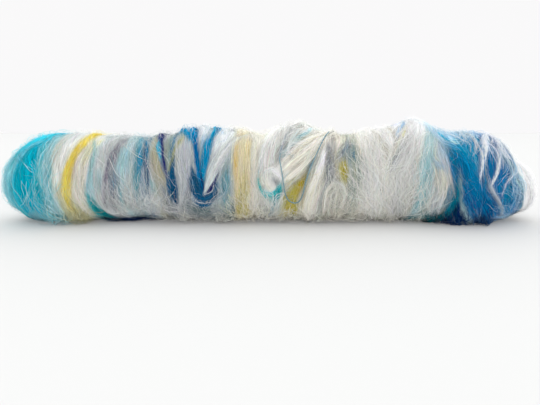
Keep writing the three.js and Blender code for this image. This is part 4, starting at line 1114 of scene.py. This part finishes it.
def halo_fibres(name, seed, material):
    """Stray fibres that stand off the roll and blur its outline."""
    rng = np.random.default_rng(seed)
    t = np.linspace(0, 1, SHORT_STEPS)
    s, angle = scattered(rng, HALO_COUNT)
    count = len(s)
    paths = drifting(rng, s, angle, rng.uniform(*HALO_LENGTH, count), SHORT_STEPS, *HALO_DRIFT)
    usual_height = 0.9
    least_height = 0.5
    most_height = 3.6
    free_share = 0.4
    height = np.minimum(rng.exponential(usual_height, (count, 1)) + least_height, most_height)
    free = each(rng, count, (0, 1)) < free_share
    lift = height * np.where(free, t ** 1.4, np.sin(math.pi * t))
    under = read_grid(COLOUR, paths[0][:, :1], paths[1][:, :1])
    share = rng.uniform(*HALO_LOOK["share"], (count, 1, 1)) * (0.3 + 0.7 * paleness(under))
    colours = blended(under, "white", share, SHORT_STEPS)
    loose_ribbons(name, rng, paths, lift, colours, HALO_LOOK, material)


# Mass of the roll
def comb_labels(s, angle):
    """Where on the top line the fibre through each place comes from, so that a streak can follow it down."""
    steps = 45
    climbing = np.where(np.mod(angle + 90.0, 360.0) < 180.0, 1.0, -1.0)
    step = np.abs(half_turn(angle - 90.0)) / steps
    for _ in range(steps):
        slope = np.clip(np.tan(read_grid(LEAN, s, angle)), -2, 2)
        s = s + climbing * slope * np.radians(step) * round_mm(s)
        angle = angle + climbing * step
    return s


def batt_body(material):
    """The mass of the roll under its loose fibres: a closed skin, combed into fine streaks."""
    streak_mm = 0.45
    streaks_round = 2.2
    rows, columns = BODY_SHAPE
    along = np.linspace(S_MIN, S_MAX, rows + 2)[1:-1]
    s, angle = np.meshgrid(along, 270.0 + np.arange(columns) * 360.0 / columns, indexing="ij")
    rings, _ = skin(s, angle, streaks(0, s, angle, COMB_STREAKS))
    ends = np.array([S_MIN, S_MAX])
    tips, _ = skin(ends, np.zeros(2), np.zeros(2))
    # painted shade on the mass under the loose fibres and in the gaps under the frizz, in random streaks
    shade = BODY_SHADE * read_grid(GAP_SHADE, s, angle) * streaks(1, s, angle, SHADE_STREAKS)
    colours = np.clip(read_grid(COLOUR, s, angle) * shade[..., None], 0, BODY_BRIGHTEST)
    mesh = closed_tube("batt_body", rings, tips, colours, read_grid(COLOUR, ends, np.zeros(2)))
    turn = np.radians(angle)
    combed = comb_labels(s, angle) / streak_mm
    labels = np.stack([combed, np.cos(turn) * streaks_round, np.sin(turn) * streaks_round], -1)
    tip_labels = np.stack([ends / streak_mm, np.zeros(2), np.zeros(2)], -1)
    layer = mesh.attributes.new("comb", "FLOAT_VECTOR", "POINT")
    every = np.concatenate([labels.reshape(-1, 3), tip_labels])
    layer.data.foreach_set("vector", every.astype(np.float32).ravel())
    body = add_piece(mesh, material)
    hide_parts("batt")


# Thread
def make_thread(material):
    """The carded-in thread: two plies twisted together."""
    route = np.array(THREAD_ROUTE, float)
    start, way = rays(route[:, 0], route[:, 1])
    lift = THREAD_DIAMETER / 2 + THREAD_CLEARANCE
    places = start + way * (read_grid(REACH, route[:, 0], route[:, 1]) + lift)[:, None]
    points_to_knot = 8
    line = smooth_line(places, points_to_knot * len(places))
    along = np.gradient(line, axis=0)
    along /= np.linalg.norm(along, axis=1, keepdims=True)
    out = (line - [0.0, AXIS_Y, AXIS_Z]) * [0.0, 1.0, 1.0]
    side = np.cross(along, out)
    side /= np.linalg.norm(side, axis=1, keepdims=True)
    up = np.cross(side, along)
    run = np.concatenate([[0], np.cumsum(np.linalg.norm(np.diff(line, axis=0), axis=1))])
    turn = np.arange(THREAD_SIDES) * 2 * math.pi / THREAD_SIDES
    lobes = np.cos(2 * (turn[None, :] - 2 * math.pi * run[:, None] / THREAD_TWIST))
    ring = np.cos(turn)[None, :, None] * side[:, None] + np.sin(turn)[None, :, None] * up[:, None]
    radius = THREAD_DIAMETER / 2 * (1 - PLY_RELIEF + PLY_RELIEF * lobes)
    rings = line[:, None] + ring * radius[..., None]
    # painted shade in the grooves between the two plies
    colours = linear("thread") * (1 - PLY_SHADE + PLY_SHADE * lobes)[..., None]
    mesh = closed_tube("thread_yarn", rings, line[[0, -1]], colours, colours[[0, -1], 0])
    thread = add_piece(mesh, material)
    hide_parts("thread")


# Materials
def set_inputs(node, values):
    """Puts values on a node's inputs."""
    for label, value in values.items():
        node.inputs[label].default_value = value


def add_node(tree, kind, values):
    """A new node of a kind, with values on its inputs."""
    node = tree.nodes.new(kind)
    set_inputs(node, values)
    return node


def tinted_material(name):
    """A material with no shader yet, its mesh's own colours and the surface they end at."""
    material = bpy.data.materials.new(name)
    material.use_nodes = True
    tree = material.node_tree
    tree.nodes.clear()
    output = tree.nodes.new("ShaderNodeOutputMaterial")
    tint = tree.nodes.new("ShaderNodeVertexColor")
    tint.layer_name = "tint"
    return material, tint.outputs["Color"], output.inputs["Surface"]


def fibre_material(name, through):
    """Matte fibre in its mesh's own colours, with some light through it."""
    material, tint, surface = tinted_material(name)
    tree = material.node_tree
    fibre = add_node(tree, "ShaderNodeBsdfPrincipled", {"Roughness": 0.75, "Specular IOR Level": 0.05})
    glow = add_node(tree, "ShaderNodeBsdfTranslucent", {})
    blend = add_node(tree, "ShaderNodeMixShader", {"Fac": through})
    tree.links.new(tint, fibre.inputs["Base Color"])
    tree.links.new(tint, glow.inputs["Color"])
    tree.links.new(fibre.outputs["BSDF"], blend.inputs[1])
    tree.links.new(glow.outputs["BSDF"], blend.inputs[2])
    tree.links.new(blend.outputs["Shader"], surface)
    return material


def body_material(name):
    """Combed fibre: the mesh's own colours in fine streaks that follow the way the fibre runs."""
    material, tint, surface = tinted_material(name)
    tree = material.node_tree
    comb = tree.nodes.new("ShaderNodeAttribute")
    comb.attribute_name = "comb"
    noise = add_node(tree, "ShaderNodeTexNoise", {"Scale": 1.0, "Detail": 4.0, "Roughness": 0.65})
    dark_to_light = {"From Min": 0.25, "From Max": 0.75, "To Min": 0.72, "To Max": 1.16}
    shade = add_node(tree, "ShaderNodeMapRange", dark_to_light)
    mixed = tree.nodes.new("ShaderNodeMix")
    mixed.data_type = "RGBA"
    mixed.blend_type = "MULTIPLY"
    set_inputs(mixed, {"Factor": 1.0})
    bump = add_node(tree, "ShaderNodeBump", {"Strength": 0.5, "Distance": 0.0004})
    fibre = add_node(tree, "ShaderNodeBsdfPrincipled", {"Roughness": 0.9, "Specular IOR Level": 0.05})
    tree.links.new(comb.outputs["Vector"], noise.inputs["Vector"])
    tree.links.new(noise.outputs["Fac"], shade.inputs["Value"])
    tree.links.new(noise.outputs["Fac"], bump.inputs["Height"])
    tree.links.new(tint, mixed.inputs["A"])
    tree.links.new(shade.outputs["Result"], mixed.inputs["B"])
    tree.links.new(mixed.outputs["Result"], fibre.inputs["Base Color"])
    tree.links.new(bump.outputs["Normal"], fibre.inputs["Normal"])
    tree.links.new(fibre.outputs["BSDF"], surface)
    return material


# Stage, light and camera
def stage_sheet(name, corners, colour, glow):
    """A plain flat sheet of the stage."""
    mesh = bpy.data.meshes.new(name)
    mesh.from_pydata(corners, [], [(0, 1, 2, 3)])
    sheet = new_object(name, mesh)
    material = bpy.data.materials.new(name)
    material.use_nodes = True
    looks = {
        "Base Color": (*colour, 1.0),
        "Roughness": 0.8,
        "Specular IOR Level": 0.1,
        "Emission Color": (1.0, 0.995, 1.0, 1.0),
        "Emission Strength": glow,
    }
    set_inputs(material.node_tree.nodes["Principled BSDF"], looks)
    mesh.materials.append(material)


def make_stage():
    """A white floor that glows a little, and a lit white backdrop behind it."""
    floor = [(-4, -3, 0), (4, -3, 0), (4, 1.4, 0), (-4, 1.4, 0)]
    back = [(-6, 2.6, -0.6), (6, 2.6, -0.6), (6, 2.6, 1.0), (-6, 2.6, 1.0)]
    stage_sheet("stage_floor", floor, colour=(0.51, 0.51, 0.506), glow=0.14)
    stage_sheet("stage_back", back, colour=(0.0, 0.0, 0.0), glow=0.945)


def soft_lamp(name, kind, energy, location):
    """A lamp that points at the roll."""
    lamp = bpy.data.lights.new(name, kind)
    lamp.energy = energy
    holder = new_object(name, lamp)
    holder.location = location
    holder.rotation_euler = (-holder.location).to_track_quat("-Z", "Y").to_euler()
    return lamp


def make_light():
    """Even white surroundings, a wide soft light high above the roll and a weak one low in front of it."""
    world = bpy.data.worlds.new("studio")
    world.use_nodes = True
    set_inputs(world.node_tree.nodes["Background"], {"Color": (0.99, 1.0, 1.0, 1.0), "Strength": 1.2})
    bpy.context.scene.world = world
    overhead = soft_lamp("overhead", "SUN", energy=1.4, location=(0.0, 0.45, 1.0))
    overhead.angle = math.radians(110.0)
    fill = soft_lamp("fill", "AREA", energy=3.2, location=(0.0, -0.9, 0.06))
    fill.shape = "RECTANGLE"
    fill.size = 2.0
    fill.size_y = 0.3


def make_camera():
    """The photograph's view: close, wide and a little above the roll."""
    focal_px = 424.0
    width_px = 540.0
    sensor_mm = 36.0
    axis_drop_px = 25.0
    distance = 0.247
    sideways = -0.0008
    elevation = math.radians(8.0)
    camera = bpy.data.cameras.new("camera")
    camera.sensor_width = sensor_mm
    camera.lens = focal_px / width_px * sensor_mm
    camera.clip_start = 0.01
    holder = new_object("camera", camera)
    height = AXIS_Z * MM + distance * math.sin(elevation)
    holder.location = (sideways, -distance * math.cos(elevation), height)
    pitch = elevation + math.atan(axis_drop_px / focal_px)
    holder.rotation_euler = (math.pi / 2 - pitch, 0.0, 0.0)
    bpy.context.scene.camera = holder


make_camera()
make_thread(fibre_material("thread_wool", through=0.1))
fibre_wool = fibre_material("fibre_wool", through=0.35)
batt_body(body_material("body_wool"))
skin_fibres("fibres_left", seed=21, side=-1, material=fibre_wool)
skin_fibres("fibres_right", seed=22, side=1, material=fibre_wool)
lock_fibres("locks_front", seed=23, locks=FRONT_LOCKS, material=fibre_wool)
lock_fibres("locks_back", seed=26, locks=BACK_LOCKS, material=fibre_wool)
veil_fibres("veil", seed=24, material=fibre_wool)
frizz_fibres("frizz", seed=27, material=fibre_wool)
halo_fibres("halo", seed=25, material=fibre_wool)
make_stage()
make_light()
bpy.context.scene.view_settings.view_transform = "Standard"
